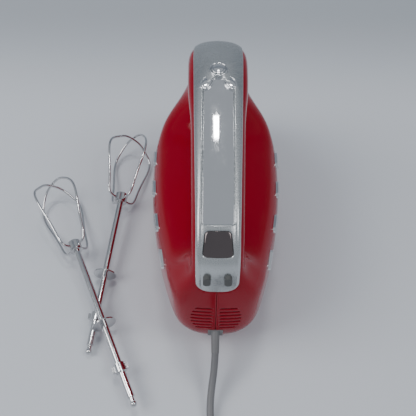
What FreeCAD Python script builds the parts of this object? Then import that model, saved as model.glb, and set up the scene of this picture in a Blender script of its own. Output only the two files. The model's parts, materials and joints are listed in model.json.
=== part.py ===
"""Hand mixer with a loop handle and two loose wire beaters, in millimetres.

The frame: +Z up, +Y towards the front tip, +X to the user's right when the
mixer points away.  The origin is the centre line of the flat underside, on
the surface that the mixer stands on.
"""
import FreeCAD, Part
import math
import os

os.makedirs("parts", exist_ok=True)
Vec = FreeCAD.Vector

# ---------------------------------------------------------------- sizes
BODY_HALF_WIDTH = 48.8      # widest half width of the body
FRONT_TAPER = (57.2, 78.0, 53.4)    # starts here, over this length, narrows by this much
REAR_TAPER = (50.0, 126.0, 0.49)    # starts here, over this length, narrows by this share
SHOULDER = (101.1, 34.6)    # height where the handle's width ends, and span down to the body's
REAR_TUCK = (36.0, 28.8)    # height where the rear rounds under, and its span
NECK_WIDENING = 1.7         # the handle is wider by this much towards the nose
NECK_TAPER = (10.0, 30.0)
SECTION_POWER = 2.6         # squareness of the sections
REAR_POWER = 2.66           # added at the rear face, which is flatter
BODY_REAR = -76.0           # rear face
BODY_FRONT = 138.0          # front tip
GRIP_HALF_WIDTH = 16.6      # half width of the handle above the origin
GRIP_WIDENING = 0.025       # the handle grows by this much per millimetre forward
BODY_TOP = 83.0             # top of the body under the finger gap
NOSE_TOP = 154.0            # control height of the handle's nose
WALL = 2.4                  # wall of the two shells
COVER_PROUD = 0.8           # the silver cover stands this far above the shells
COVER_SEAT = 0.7            # and is let this far into them
COVER_LOW = 83.6            # lower end of the cover on the rear face
COVER_CORNER = 8.5          # its rounded lower corners
INLAY_THICKNESS = 1.2       # chrome inlay under the cover
INLAY_LIP = 1.2             # the inlay reaches this far past its opening
COVER_STATIONS = (8.6, 17.2)  # the cover runs between these stations of the loop
COVER_REAR_HALF = 12.6      # half widths of the cover, from the rear to the nose
COVER_FRONT_HALF = 16.0
CHANNEL_HALF = 9.3          # half width of the recessed channel
CHANNEL_FRONT = 26.0        # front end of the channel's straight sides
CHANNEL_REAR = -56.0
LENS_STEP = 3.6             # from the channel's end to the window
LENS_REAR = -70.4
LENS_FRONT_HALF = 7.0       # the window widens towards the rear
LENS_REAR_HALF = 8.5
PLAY = 0.3                  # gap between pieces that move past each other
BASE_THICKNESS = 2.4

# drive
MOTOR_Z = 50.0              # height of the armature axis
SHAFT_RADIUS = 3.0
STATOR_REAR = -30.0
STATOR_LENGTH = 40.0
STATOR_HALF_WIDTH = 24.0
STATOR_HALF_HEIGHT = 21.0
ROTOR_RADIUS = 14.0
AIR_GAP = 0.5
SPINDLE_Y = 72.0
SPINDLE_X = 20.0            # half the distance between the two spindles
SPINDLE_RADIUS = 4.5
SPINDLE_LOW = 2.4
SPINDLE_HIGH = 68.0
SOCKET_DEPTH = 28.0
SHANK_RADIUS = 2.5
SOCKET_CLEARANCE = 0.05
BUSH_CLEARANCE = 0.05
BUSH_WALL = 2.0
WORM_STARTS = 2
WHEEL_TEETH = 24
AXIAL_PITCH = 4.0           # worm thread pitch, which is the wheel's tooth pitch
WHEEL_WIDTH = 8.0
SHAFT_REAR = -54.0
SHAFT_FRONT = 88.0
BEARING_RADIUS = 8.0
REAR_BEARING = -54.0
FRONT_WALL = 30.0           # wall of the gear carrier that holds the front bearing
DECK_LOW = 8.0
DECK_HIGH = 60.0
DECK_THICKNESS = 4.0
ROTOR_SLOTS = 12
COMMUTATOR_RADIUS = 8.0
COMMUTATOR_REAR = -46.0
COMMUTATOR_LENGTH = 10.0
COMMUTATOR_BARS = 24
BRUSH_Y = -41.0
FAN_REAR = 18.0
FAN_WIDTH = 8.0
FAN_RADIUS = 19.0
FAN_BLADES = 12
WORM_LENGTH = 26.0
TOOTH_ADDENDUM = 0.95
TOOTH_DEDENDUM = 1.35

# controls
ROUND_BUTTON_Y = 41.5
ROUND_BUTTON_RADIUS = 4.6
ROUND_BUTTON_STROKE = 1.0
OVAL_BUTTON_X = 7.2
OVAL_BUTTON_Y = 32.3
OVAL_BUTTON_LONG = 4.6
OVAL_BUTTON_SHORT = 2.9
OVAL_BUTTON_TURN = 60.0
OVAL_BUTTON_STROKE = 0.8
RIM_WIDTH = 0.9
RIM_SEAT = 1.6              # the rims reach this far below the handle's top line
RIM_PROUD = 1.5
CAP_PROUD = 2.3             # top of a button above the handle's top line
OVAL_DROP = 0.9             # the handle has curved down by this much at the ovals
STEM_RADIUS = 1.5
BOARD_DEPTH = 12.0          # from the top line down to the switch board
SWITCH_HEIGHT = 3.0
SWITCH_HALF = 2.5
EJECT_STROKE = 4.0
EJECT_DROP = 3.0            # the fork goes down this far as the trigger goes in
EJECT_HALF_WIDTH = 5.0
EJECT_HALF_HEIGHT = 6.0
EJECT_Z = 106.0
EJECT_REAR = 58.5
EJECT_FRONT = 70.0
FORK_LOW = SPINDLE_HIGH + EJECT_DROP + 1.0
PIN_RADIUS = 1.3            # the fork's pins inside the hollow spindles

# base screws
SCREW_PLACES = ((16.0, -34.0), (11.0, 88.5))
SCREW_RADIUS = 1.5
SCREW_HEAD_RADIUS = 3.0
SCREW_HEAD_LOW = 0.3
SCREW_HEAD_HIGH = 1.6
BOSS_RADIUS = 3.6
BOSS_HIGH = 14.0

# rear
PAD_WIDTH = 4.4
PAD_PROUD = 1.9             # behind the body's rear face
PAD_HEIGHT = 7.8
OUTLET_HALF = 5.0
OUTLET_LOW = 24.5
OUTLET_HIGH = 31.5
OUTLET_REAR = -77.0
VENT_ROWS = 7
VENT_PITCH = 4.4
VENT_SLOT = 1.7
VENT_RADIUS = 16.2
VENT_Z = 48.5
VENT_GAP_HALF = 2.5
PAD_X = 6.1
PAD_Z = 96.2
TRIM_LENGTH = 15.0
TRIM_HEIGHT = 5.0
TRIM_PROUD = 1.7
TRIM_Z = 58.0
TRIM_PLACES = (53.0, 23.0, -8.0, -38.0)

# beaters
WIRE_RADIUS = 1.0
CAGE_RADIUS = 21.6
CAGE_LENGTH = 72.0
HUB_LENGTH = 9.0
HUB_RADIUS = 5.5
DISC_AT = 65.0
DISC_RADIUS = 8.6
COLLAR_AT = 100.0
COLLAR_RADIUS = 4.0
COLLAR_WING = 5.5
DISC_THICKNESS = 1.0
NECK_AT = 121.0
NECK_RADIUS = 1.7
TIP_AT = 128.0
# where each beater lies: the end of its hub and the tip of its shank
BEATERS = (
    ("right_beater", (-78.6, 43.7, 14.4), (-88.2, -83.2, 4.5)),
    ("left_beater", (-106.3, -5.0, 15.6), (-51.5, -120.5, 10.2)),
)

# cord
CORD_RADIUS = 2.4
CORD_EXIT_Z = 28.0
RELIEF_LENGTH = 13.0
RELIEF_RADIUS = 2.9
RELIEF_END_RADIUS = 2.6
RELIEF_TILT = math.radians(28)  # the relief points this far below level
RELIEF_FOOT = 2.0           # the relief reaches this far into the outlet block
RELIEF_START = Vec(0, OUTLET_REAR, CORD_EXIT_Z)
RELIEF_WAY = Vec(0, -math.cos(RELIEF_TILT), -math.sin(RELIEF_TILT))
COIL_CENTRE = Vec(24.0, -178.0, 0.0)
COIL_RADIUS = 27.0          # to the middle of the turns
COIL_TURNS_WIDE = 3
COIL_TURNS_HIGH = 2
PLUG_Z = 7.0
PLUG_START = 66.0
PLUG_LENGTH = 30.0
PIN_LENGTH = 19.0

# ------------------------------------------------- the body's outline
# Pairs of control points: one on the edge of the finger gap, one on the
# outer side line.  They run once round the handle loop from the underside,
# by the front tip, the nose and the rear face.
LOOP = (
    ((5, BODY_TOP), (5, -5)),
    ((24, BODY_TOP), (40, -5)),
    ((42, BODY_TOP), (80, -5)),
    ((54, BODY_TOP + 1), (116, 5)),
    ((60, BODY_TOP + 5), (BODY_FRONT - 1, 30)),
    ((63, BODY_TOP + 11), (BODY_FRONT + 3, 62)),
    ((64, 100), (BODY_FRONT - 10, 86)),
    ((64, 107), (109, 98)),
    ((63, 114), (99, 113)),
    ((60, 121), (91, 130)),
    ((52, 126), (80, NOSE_TOP - 5)),
    ((36, 124), (58, NOSE_TOP)),
    ((16, 120), (26, NOSE_TOP - 5)),
    ((-4, 115), (-8, 139.5)),
    ((-24, 110), (-40, 129)),
    ((-41, 104), (-63, 119)),
    ((-50, 96), (BODY_REAR, 106)),
    ((-51, 88), (BODY_REAR - 0.5, 80)),
    ((-44, BODY_TOP + 1), (BODY_REAR - 1, 46)),
    ((-30, BODY_TOP), (BODY_REAR - 1, 10)),
    ((-14, BODY_TOP), (-48, -7)),
)
STATIONS = len(LOOP)
SAMPLES_PER_STATION = 3
ROWS = 16


def spline_point(points, u):
    """Point of the closed uniform cubic B-spline at u, in control points."""
    count = len(points)
    first = int(math.floor(u))
    f = u - first
    weights = ((1 - f) ** 3 / 6, (3 * f ** 3 - 6 * f ** 2 + 4) / 6,
               (-3 * f ** 3 + 3 * f ** 2 + 3 * f + 1) / 6, f ** 3 / 6)
    y = z = 0.0
    for step, weight in enumerate(weights):
        point = points[(first + step - 1) % count]
        y += weight * point[0]
        z += weight * point[1]
    return y, z


def gap_point(u):
    return spline_point([pair[0] for pair in LOOP], u)


def side_point(u):
    return spline_point([pair[1] for pair in LOOP], u)


def ease(value):
    """Smooth step from 0 to 1."""
    value = min(max(value, 0.0), 1.0)
    return value * value * (3 - 2 * value)


def plan_half_width(y):
    """Half width of the body seen from above, before its ends are closed."""
    start, length, amount = FRONT_TAPER
    ahead = BODY_HALF_WIDTH - amount * (max(y - start, 0.0) / length) ** 2
    start, length, share = REAR_TAPER
    behind = BODY_HALF_WIDTH * (1 - share * (max(start - y, 0.0) / length) ** 2)
    return min(ahead, behind)


def half_width(y, z, part):
    """Half width at a place in the side view; part runs 0 to 1 from gap to side line."""
    grip = GRIP_HALF_WIDTH + GRIP_WIDENING * y
    grip += NECK_WIDENING * ease((y - NECK_TAPER[0]) / NECK_TAPER[1])
    body = max(plan_half_width(y), grip)
    width = grip + (body - grip) * ease((SHOULDER[0] - z) / SHOULDER[1])
    rear = ease((-35.0 - y) / 35.0)
    low = min(max((REAR_TUCK[0] - z) / REAR_TUCK[1], 0.0), 0.98)
    width *= 1 - rear * (1 - math.sqrt(1 - low * low))
    across = abs(2 * part - 1)
    power = SECTION_POWER
    if part > 0.5:
        power += 0.6 * ease((60.0 - z) / 40.0) + REAR_POWER * rear
    return width * max(1 - across ** power, 0.0) ** (1 / min(power, 3.2))


def loop_grid(offset):
    """Rows of points on one half of the outer form, moved outwards by offset."""
    rows = []
    for i in range(STATIONS * SAMPLES_PER_STATION):
        u = i / SAMPLES_PER_STATION
        gap_y, gap_z = gap_point(u)
        side_y, side_z = side_point(u)
        reach = offset / math.hypot(side_y - gap_y, side_z - gap_z)
        row = []
        for j in range(ROWS + 1):
            part = (1 - math.cos(math.pi * j / ROWS)) / 2
            along = part * (1 + 2 * reach) - reach
            y = gap_y + (side_y - gap_y) * along
            z = gap_z + (side_z - gap_z) * along
            x = 0.0
            if 0 < j < ROWS:
                x = max(half_width(y, z, part) + offset * math.sin(math.pi * part) ** 0.5, 0.3)
            row.append(Vec(x, y, z))
        rows.append(row)
    return rows


def loop_skin(offset):
    """Smooth surface whose poles are the grid: closed round the loop, clamped across it."""
    poles = loop_grid(offset)
    around = len(poles)
    surface = Part.BSplineSurface()
    surface.buildFromPolesMultsKnots(
        poles, [1] * (around + 1), [4] + [1] * (ROWS - 3) + [4],
        list(range(around + 1)), list(range(ROWS - 1)), True, False, 3, 3)
    return surface


def seam_wires(surface):
    """The skin's two closed edges on the middle plane: at the finger gap and outside."""
    low, high = surface.bounds()[2:]
    return [Part.Wire([surface.vIso(v).toShape()]) for v in (low, high)]


def sewn(faces):
    shell = Part.makeShell(faces)
    shell.sewShape()
    solid = Part.makeSolid(shell)
    if solid.Volume < 0:
        solid.reverse()
    return solid


def ring_face(outside, inside):
    face = Part.Face([outside, inside])
    face.validate()
    return face


def loop_half(offset):
    """Closed solid of the right half of the outer form, moved by offset."""
    surface = loop_skin(offset)
    gap_edge, side_edge = seam_wires(surface)
    return sewn([surface.toShape(), ring_face(side_edge, gap_edge)])


def half_shell(outer_offset, inner_offset):
    """Right half of the wall between two moved copies of the form, open on the middle plane."""
    outer = loop_skin(outer_offset)
    inner = loop_skin(inner_offset)
    outer_gap, outer_side = seam_wires(outer)
    inner_gap, inner_side = seam_wires(inner)
    return sewn([outer.toShape(), inner.toShape(),
                 ring_face(outer_side, inner_side), ring_face(inner_gap, outer_gap)])


def mirrored(shape):
    return shape.mirror(Vec(0, 0, 0), Vec(1, 0, 0))


def box(x0, x1, y0, y1, z0, z1):
    return Part.makeBox(x1 - x0, y1 - y0, z1 - z0, Vec(x0, y0, z0))


def rod(radius, start, end):
    start, end = Vec(*start), Vec(*end)
    return Part.makeCylinder(radius, (end - start).Length, start, end - start)


def tube(outer, inner, start, end):
    return rod(outer, start, end).cut(rod(inner, start, end))


def group(solids):
    """Identical pieces kept as separate solids of one node."""
    return Part.makeCompound(list(solids))


def joined(first, *others):
    return first.fuse(list(others)).removeSplitter()


def both_halves(right):
    """A right half joined to its mirror image over the middle plane."""
    return joined(right, mirrored(right))


def save(name, shape):
    shape.exportStep(f"parts/{name}.step")
    print(f"{name:28s} solids {len(shape.Solids)} volume {shape.Volume:10.1f} valid {shape.isValid()}")


# ---------------------------------------------------------- regions
def loop_place(u, along):
    """Point of the side view at a station, part of the way from gap to side line."""
    gap_y, gap_z = gap_point(u)
    side_y, side_z = side_point(u)
    return Vec(0, gap_y + (side_y - gap_y) * along, gap_z + (side_z - gap_z) * along)


def side_region(first, last, low, high, half):
    """Prism across X over a run of stations, between two depths."""
    steps = int((last - first) * 4)
    stations = [first + (last - first) * i / steps for i in range(steps + 1)]
    outline = [loop_place(u, high) for u in stations]
    outline += [loop_place(u, low) for u in reversed(stations)]
    face = Part.Face(Part.makePolygon(outline + outline[:1]))
    return face.extrude(Vec(half, 0, 0))


def plan_region(outline, z0, z1):
    """Prism along Z over the right half of a plan given as (x, y) points."""
    points = [Vec(x, y, z0) for x, y in outline]
    return Part.Face(Part.makePolygon(points + points[:1])).extrude(Vec(0, 0, z1 - z0))


def cover_region(inset):
    """Space of the silver cover on the right half: the top of the handle and the rear plate."""
    rear, front = COVER_REAR_HALF - inset, COVER_FRONT_HALF - inset
    plan = plan_region(((0, -90), (rear, -90), (rear, -60), (front, 60), (front, 120), (0, 120)),
                       70, 170)
    region = side_region(*COVER_STATIONS, 0.6, 1.3, 30).common(plan)
    lip = COVER_CORNER - inset
    low = COVER_LOW + inset
    mask = box(0, rear, -90, -60, low, 130)
    edge = [e for e in mask.Edges
            if abs(e.Vertexes[0].Z - low) < 0.01 and abs(e.Vertexes[1].Z - low) < 0.01
            and abs(e.Vertexes[0].X - rear) < 0.01 and abs(e.Vertexes[1].X - rear) < 0.01]
    mask = mask.makeFillet(lip, edge)
    return region.common(Part.makeCompound([mask, box(0, 40, -60, 130, 60, 170)]))


def channel_region(grow, front_arch=8.0):
    """Space of the recessed channel on the right half, seen from above."""
    half = CHANNEL_HALF + grow
    arch = [(half * math.cos(a), CHANNEL_FRONT - front_arch + (front_arch + grow) * math.sin(a))
            for a in [math.pi / 2 * i / 10 for i in range(10)]]
    outline = [(0, CHANNEL_REAR - grow), (half - 0.6, CHANNEL_REAR - grow)] + arch
    outline.append((0, CHANNEL_FRONT + grow))
    return plan_region(outline, 100, 170).common(side_region(11, 16, 0.62, 1.3, 20))


def lens_region(grow):
    """Space of the display window behind the channel's step."""
    rear, front = LENS_REAR - grow, CHANNEL_REAR - LENS_STEP + grow
    outline = ((0, rear), (LENS_REAR_HALF + grow, rear), (LENS_FRONT_HALF + grow, front),
               (0, front))
    return plan_region(outline, 100, 140).common(side_region(14, 16.4, 0.6, 1.3, 20))


# --------------------------------------------------------- controls
def spot(y, first, last):
    """Place and outward direction of the handle's top line at a given y."""
    for _ in range(40):
        middle = (first + last) / 2
        if side_point(middle)[0] > y:
            first = middle
        else:
            last = middle
    ahead = side_point(first - 0.02)
    behind = side_point(first + 0.02)
    along = Vec(0, ahead[0] - behind[0], ahead[1] - behind[1]).normalize()
    return Vec(0, *side_point(first)), Vec(0, -along.z, along.y)


ROUND_PLACE, ROUND_NORMAL = spot(ROUND_BUTTON_Y, 10.5, 13)
OVAL_TOP, OVAL_NORMAL = spot(OVAL_BUTTON_Y, 10.5, 13)


def round_plug(grow, low, high):
    """Cylinder on the round button's axis, low and high measured from the top line."""
    start, end = ROUND_PLACE + ROUND_NORMAL * low, ROUND_PLACE + ROUND_NORMAL * high
    return rod(ROUND_BUTTON_RADIUS + grow, start, end)


def oval_place(side):
    return OVAL_TOP + Vec(side * OVAL_BUTTON_X, 0, -OVAL_DROP)


def oval_plug(side, grow, low, high):
    """Elliptic cylinder on an oval button's axis; its long axis rises towards the middle."""
    ring = Part.Ellipse(Vec(0, 0, 0), OVAL_BUTTON_LONG + grow, OVAL_BUTTON_SHORT + grow).toShape()
    solid = Part.Face(Part.Wire([ring])).extrude(Vec(0, 0, high - low))
    solid.translate(Vec(0, 0, low))
    solid.rotate(Vec(0, 0, 0), Vec(0, 0, 1), -side * OVAL_BUTTON_TURN)
    tilt = math.degrees(math.atan2(OVAL_NORMAL.y, OVAL_NORMAL.z))
    solid.rotate(Vec(0, 0, 0), Vec(1, 0, 0), -tilt)
    solid.translate(oval_place(side))
    return solid


def button(plug, place, normal, stroke):
    """Cap with a flange caught under its rim and a stem that reaches for its switch."""
    cap = plug(0.0, -RIM_SEAT - PLAY - 1.0, CAP_PROUD)
    flange = plug(RIM_WIDTH, -RIM_SEAT - PLAY - 1.0, -RIM_SEAT - PLAY)
    length = BOARD_DEPTH - SWITCH_HEIGHT - stroke - PLAY
    stem = rod(STEM_RADIUS, place - normal * length, place)
    return joined(cap, flange, stem)


def rim(plug):
    """Raised ring that a button slides in."""
    return plug(RIM_WIDTH, -RIM_SEAT, RIM_PROUD).cut(plug(PLAY / 2, -RIM_SEAT - 1, RIM_PROUD + 1))


PLUGS = [round_plug, lambda *a: oval_plug(-1, *a), lambda *a: oval_plug(1, *a)]


def switch_board():
    """Circuit board under the buttons with one push switch below each stem."""
    normal = OVAL_NORMAL
    centre = (OVAL_TOP + ROUND_PLACE) * 0.5 - normal * BOARD_DEPTH
    tilt = math.degrees(math.atan2(normal.y, normal.z))
    board = box(-20, 20, -11, 9, -1.6, 0)
    for x, place in ((0, ROUND_PLACE), (-OVAL_BUTTON_X, OVAL_TOP), (OVAL_BUTTON_X, OVAL_TOP)):
        y = (place - centre).dot(Vec(0, math.cos(math.radians(tilt)), -math.sin(math.radians(tilt))))
        top = SWITCH_HEIGHT - (OVAL_DROP if x else 0.0)
        board = board.fuse(box(x - SWITCH_HALF, x + SWITCH_HALF, y - SWITCH_HALF,
                               y + SWITCH_HALF, -0.1, top))
    board = board.removeSplitter()
    board.rotate(Vec(0, 0, 0), Vec(1, 0, 0), -tilt)
    board.translate(centre)
    return board.common(both_halves(loop_half(-WALL)))


# ---------------------------------------------------------- housing
def vent_slots(side):
    slots = []
    for row in range(VENT_ROWS):
        step = row - (VENT_ROWS - 1) / 2
        reach = VENT_RADIUS * math.sqrt(1 - (step / (VENT_ROWS - 2)) ** 2)
        z = VENT_Z + step * VENT_PITCH
        x0, x1 = sorted((side * VENT_GAP_HALF, side * reach))
        slots.append(box(x0, x1, BODY_REAR - 6, BODY_REAR + 8, z - VENT_SLOT / 2, z + VENT_SLOT / 2))
    return slots


def screw_boss(x, y):
    """Post for a base screw with a rib out to the shell's wall."""
    side = 1 if x > 0 else -1
    x0, x1 = sorted((x, side * BODY_HALF_WIDTH))
    post = rod(BOSS_RADIUS, (x, y, BASE_THICKNESS), (x, y, BOSS_HIGH))
    return post.fuse(box(x0, x1, y - 1, y + 1, BASE_THICKNESS, BOSS_HIGH))


def shell(side):
    """One half of the housing: the wall, its screw bosses and every opening in it."""
    wall = half_shell(0.0, -WALL)
    inside = loop_half(-WALL / 2)
    for x, y in SCREW_PLACES:
        wall = wall.fuse(screw_boss(x, y).common(inside))
    cuts = [cover_region(0.0).cut(loop_half(-COVER_SEAT)),
            channel_region(INLAY_LIP).cut(loop_half(-COVER_SEAT - INLAY_THICKNESS)),
            lens_region(INLAY_LIP).cut(loop_half(-COVER_SEAT - INLAY_THICKNESS)),
            box(-1, 60, -90, 150, -20, BASE_THICKNESS)]
    if side < 0:
        cuts = [mirrored(c) for c in cuts]
        wall = mirrored(wall)
    cuts += vent_slots(side)
    cuts += [plug(RIM_WIDTH + PLAY, -BOARD_DEPTH - 3, 6) for plug in PLUGS]
    cuts.append(outlet_block(0.0))
    cuts.append(eject_block(PLAY))
    cuts += [rod(SCREW_RADIUS, (side * x, y, 0), (side * x, y, BOSS_HIGH - 2)) for x, y in SCREW_PLACES]
    return wall.cut(cuts)


def cover():
    """Silver cover over the handle's top, from the nose to the lower rear plate."""
    right = half_shell(COVER_PROUD, -COVER_SEAT).common(cover_region(0.0))
    right = right.cut([channel_region(0.0), lens_region(0.0)])
    whole = both_halves(right)
    pads = [pad_block(side) for side in (-1, 1)]
    return whole.cut([plug(RIM_WIDTH, -8, 6) for plug in PLUGS] + pads)


def inlay(region):
    """Plate that closes an opening of the cover from below."""
    right = half_shell(-COVER_SEAT, -COVER_SEAT - INLAY_THICKNESS).common(region(INLAY_LIP))
    return both_halves(right).cut([plug(RIM_WIDTH + PLAY, -8, 6) for plug in PLUGS])


def base_plate():
    """Sole of the mixer: the form's own bottom slice with the socket and screw holes."""
    half = loop_half(0.0).common(box(-1, 60, -90, 150, 0, BASE_THICKNESS))
    sole = both_halves(half)
    holes = [rod(SPINDLE_RADIUS + 2 * PLAY, (side * SPINDLE_X, SPINDLE_Y, -1),
                 (side * SPINDLE_X, SPINDLE_Y, 9)) for side in (-1, 1)]
    for x, y in SCREW_PLACES:
        for side in (-1, 1):
            holes.append(rod(SCREW_RADIUS, (side * x, y, -1), (side * x, y, 9)))
            holes.append(rod(SCREW_HEAD_RADIUS, (side * x, y, -1), (side * x, y, SCREW_HEAD_HIGH)))
    return sole.cut(holes)


def base_screw(x, y):
    head = rod(SCREW_HEAD_RADIUS, (x, y, SCREW_HEAD_LOW), (x, y, SCREW_HEAD_HIGH))
    return joined(head, rod(SCREW_RADIUS, (x, y, SCREW_HEAD_LOW), (x, y, BOSS_HIGH - 2)))


def stadium(length, height, x0, x1, y, z):
    """Bar with round ends, extruded along X."""
    straight = (length - height) / 2
    bar = box(x0, x1, y - straight, y + straight, z - height / 2, z + height / 2)
    ends = [rod(height / 2, (x0, y + s * straight, z), (x1, y + s * straight, z)) for s in (-1, 1)]
    return joined(bar, *ends)


def side_trims(side):
    """Four plain bars on the body's flank."""
    skin = half_shell(TRIM_PROUD, 0.0)
    bars = []
    for y in TRIM_PLACES:
        bar = stadium(TRIM_LENGTH, TRIM_HEIGHT, 10, 60, y, TRIM_Z).common(skin)
        bars.append(bar if side > 0 else mirrored(bar))
    return group(bar.Solids[0] for bar in bars)


def pad_block(side):
    """Upright oval rubber pad on the rear plate, let into the cover."""
    half_height = PAD_HEIGHT / 2 - PAD_WIDTH / 2
    y0, y1 = BODY_REAR - PAD_PROUD, BODY_REAR + 3.0
    radius = PAD_WIDTH / 2
    x = side * PAD_X
    block = box(x - radius, x + radius, y0, y1, PAD_Z - half_height, PAD_Z + half_height)
    ends = [rod(radius, (x, y0, PAD_Z + s * half_height), (x, y1, PAD_Z + s * half_height))
            for s in (-1, 1)]
    return joined(block, *ends)


def rear_pad(side):
    """The pad's solid: it stops at the shell under the cover."""
    form = loop_half(-COVER_SEAT) if side > 0 else mirrored(loop_half(-COVER_SEAT))
    return pad_block(side).cut(form)


def outlet_block(grow):
    return box(-OUTLET_HALF - grow, OUTLET_HALF + grow, OUTLET_REAR, BODY_REAR + 12.0,
               OUTLET_LOW - grow, OUTLET_HIGH + grow)


def cord_outlet():
    """Block that fills the notch in both shells and holds the cord."""
    return outlet_block(0.0).cut(rod(RELIEF_RADIUS, RELIEF_START - RELIEF_WAY * RELIEF_FOOT,
                                     RELIEF_START + RELIEF_WAY * 6))


# ------------------------------------------------------------ drive
def along_y(radius, y0, y1, x=0.0, z=MOTOR_Z):
    return rod(radius, (x, y0, z), (x, y1, z))


WORM_RADIUS = SPINDLE_X - WHEEL_TEETH * AXIAL_PITCH / (2 * math.pi)
WHEEL_RADIUS = SPINDLE_X - WORM_RADIUS
WORM_LEAD = WORM_STARTS * AXIAL_PITCH
WORM_START = SPINDLE_Y - WORM_LENGTH / 2


def worm_thread(start):
    """One thread of the worm, as a trapezoid carried along a helix about Y."""
    root, tip = WORM_RADIUS - TOOTH_DEDENDUM - 0.2, WORM_RADIUS + TOOTH_ADDENDUM
    helix = Part.makeHelix(WORM_LEAD, WORM_LENGTH - 2 * AXIAL_PITCH, WORM_RADIUS)
    half_root, half_tip = 1.15, 0.5
    points = [Vec(root, 0, -half_root), Vec(tip, 0, -half_tip), Vec(tip, 0, half_tip),
              Vec(root, 0, half_root)]
    profile = Part.makePolygon(points + points[:1])
    thread = Part.Wire(helix.Edges).makePipeShell([profile], True, True)
    thread.rotate(Vec(0, 0, 0), Vec(0, 0, 1), 360.0 / WORM_STARTS * start)
    thread.rotate(Vec(0, 0, 0), Vec(1, 0, 0), -90)
    # the thread's ridge stands half a pitch from the spindles' plane on both sides
    shift = SPINDLE_Y + AXIAL_PITCH / 2 - round((WORM_LENGTH / 2 - AXIAL_PITCH) / AXIAL_PITCH) * AXIAL_PITCH
    thread.translate(Vec(0, shift, MOTOR_Z))
    return thread


def armature_shaft():
    """Steel shaft with the worm cut at its front end."""
    core = [along_y(WORM_RADIUS - TOOTH_DEDENDUM, WORM_START, WORM_START + WORM_LENGTH)]
    threads = [worm_thread(start) for start in range(WORM_STARTS)]
    return joined(along_y(SHAFT_RADIUS, SHAFT_REAR, SHAFT_FRONT), *core, *threads)


def armature_core():
    """Laminated rotor with open winding slots."""
    core = along_y(ROTOR_RADIUS, STATOR_REAR, STATOR_REAR + STATOR_LENGTH)
    slots = []
    for i in range(ROTOR_SLOTS):
        slot = box(-1.2, 1.2, STATOR_REAR - 1, STATOR_REAR + STATOR_LENGTH + 1,
                   ROTOR_RADIUS - 6, ROTOR_RADIUS + 1)
        slot.rotate(Vec(0, 0, 0), Vec(0, 1, 0), 360.0 * i / ROTOR_SLOTS)
        slot.translate(Vec(0, 0, MOTOR_Z))
        slots.append(slot)
    return core.cut(slots + [along_y(SHAFT_RADIUS, SHAFT_REAR, SHAFT_FRONT)])


def rotor_windings():
    """The two bundles of wire that stand out of the rotor's ends."""
    ends = []
    for y0, y1 in ((STATOR_REAR - 5, STATOR_REAR), (STATOR_REAR + STATOR_LENGTH,
                                                   STATOR_REAR + STATOR_LENGTH + 5)):
        ends.append(tube(ROTOR_RADIUS - 1.5, SHAFT_RADIUS, (0, y0, MOTOR_Z), (0, y1, MOTOR_Z)))
    return group(ends)


def commutator():
    ring = tube(COMMUTATOR_RADIUS, SHAFT_RADIUS, (0, COMMUTATOR_REAR, MOTOR_Z),
                (0, COMMUTATOR_REAR + COMMUTATOR_LENGTH, MOTOR_Z))
    cuts = []
    for i in range(COMMUTATOR_BARS):
        cut = box(-0.25, 0.25, COMMUTATOR_REAR - 1, COMMUTATOR_REAR + COMMUTATOR_LENGTH - 1.5,
                  COMMUTATOR_RADIUS - 1, COMMUTATOR_RADIUS + 1)
        cut.rotate(Vec(0, 0, 0), Vec(0, 1, 0), 360.0 * i / COMMUTATOR_BARS)
        cut.translate(Vec(0, 0, MOTOR_Z))
        cuts.append(cut)
    return ring.cut(cuts)


def cooling_fan():
    """Hub with flat blades and a back plate."""
    hub = along_y(7, FAN_REAR, FAN_REAR + FAN_WIDTH)
    plate = along_y(FAN_RADIUS, FAN_REAR, FAN_REAR + 1.2)
    blades = []
    for i in range(FAN_BLADES):
        blade = box(-0.6, 0.6, FAN_REAR + 0.5, FAN_REAR + FAN_WIDTH, 6, FAN_RADIUS - 0.5)
        blade.rotate(Vec(0, 0, 0), Vec(0, 1, 0), 360.0 * i / FAN_BLADES)
        blade.translate(Vec(0, 0, MOTOR_Z))
        blades.append(blade)
    return joined(hub, plate, *blades).cut(along_y(SHAFT_RADIUS, FAN_REAR - 1, FAN_REAR + 20))


def stator_core():
    """Laminated block with the rotor's bore and the two winding slots."""
    end = STATOR_REAR + STATOR_LENGTH
    block = box(-STATOR_HALF_WIDTH, STATOR_HALF_WIDTH, STATOR_REAR, end,
                MOTOR_Z - STATOR_HALF_HEIGHT, MOTOR_Z + STATOR_HALF_HEIGHT)
    bore = along_y(ROTOR_RADIUS + AIR_GAP, STATOR_REAR - 1, end + 1)
    slots = [winding_space(side, 0.0) for side in (-1, 1)]
    return block.cut([bore] + slots)


def winding_space(side, stand_out):
    """Straight part of a field coil, above or below the rotor."""
    z = sorted((MOTOR_Z + side * (ROTOR_RADIUS + AIR_GAP + 0.8),
                MOTOR_Z + side * (STATOR_HALF_HEIGHT - 2.0)))
    return box(-13, 13, STATOR_REAR - stand_out - 0.001, STATOR_REAR + STATOR_LENGTH + stand_out + 0.001,
               z[0], z[1])


def bearing(y0, y1):
    return tube(BEARING_RADIUS, SHAFT_RADIUS + BUSH_CLEARANCE, (0, y0, MOTOR_Z), (0, y1, MOTOR_Z))


def motor_bridge():
    """Rear bracket from the stator to the rear bearing."""
    post = box(-STATOR_HALF_WIDTH, STATOR_HALF_WIDTH, REAR_BEARING, REAR_BEARING + 5,
               MOTOR_Z - 9.5, MOTOR_Z + 9.5)
    arms = [box(x - 2, x + 2, REAR_BEARING, STATOR_REAR, MOTOR_Z - 6, MOTOR_Z + 6)
            for x in (-STATOR_HALF_WIDTH + 2, STATOR_HALF_WIDTH - 2)]
    return joined(post, *arms).cut(along_y(BEARING_RADIUS, REAR_BEARING - 1, REAR_BEARING + 7))


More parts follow.
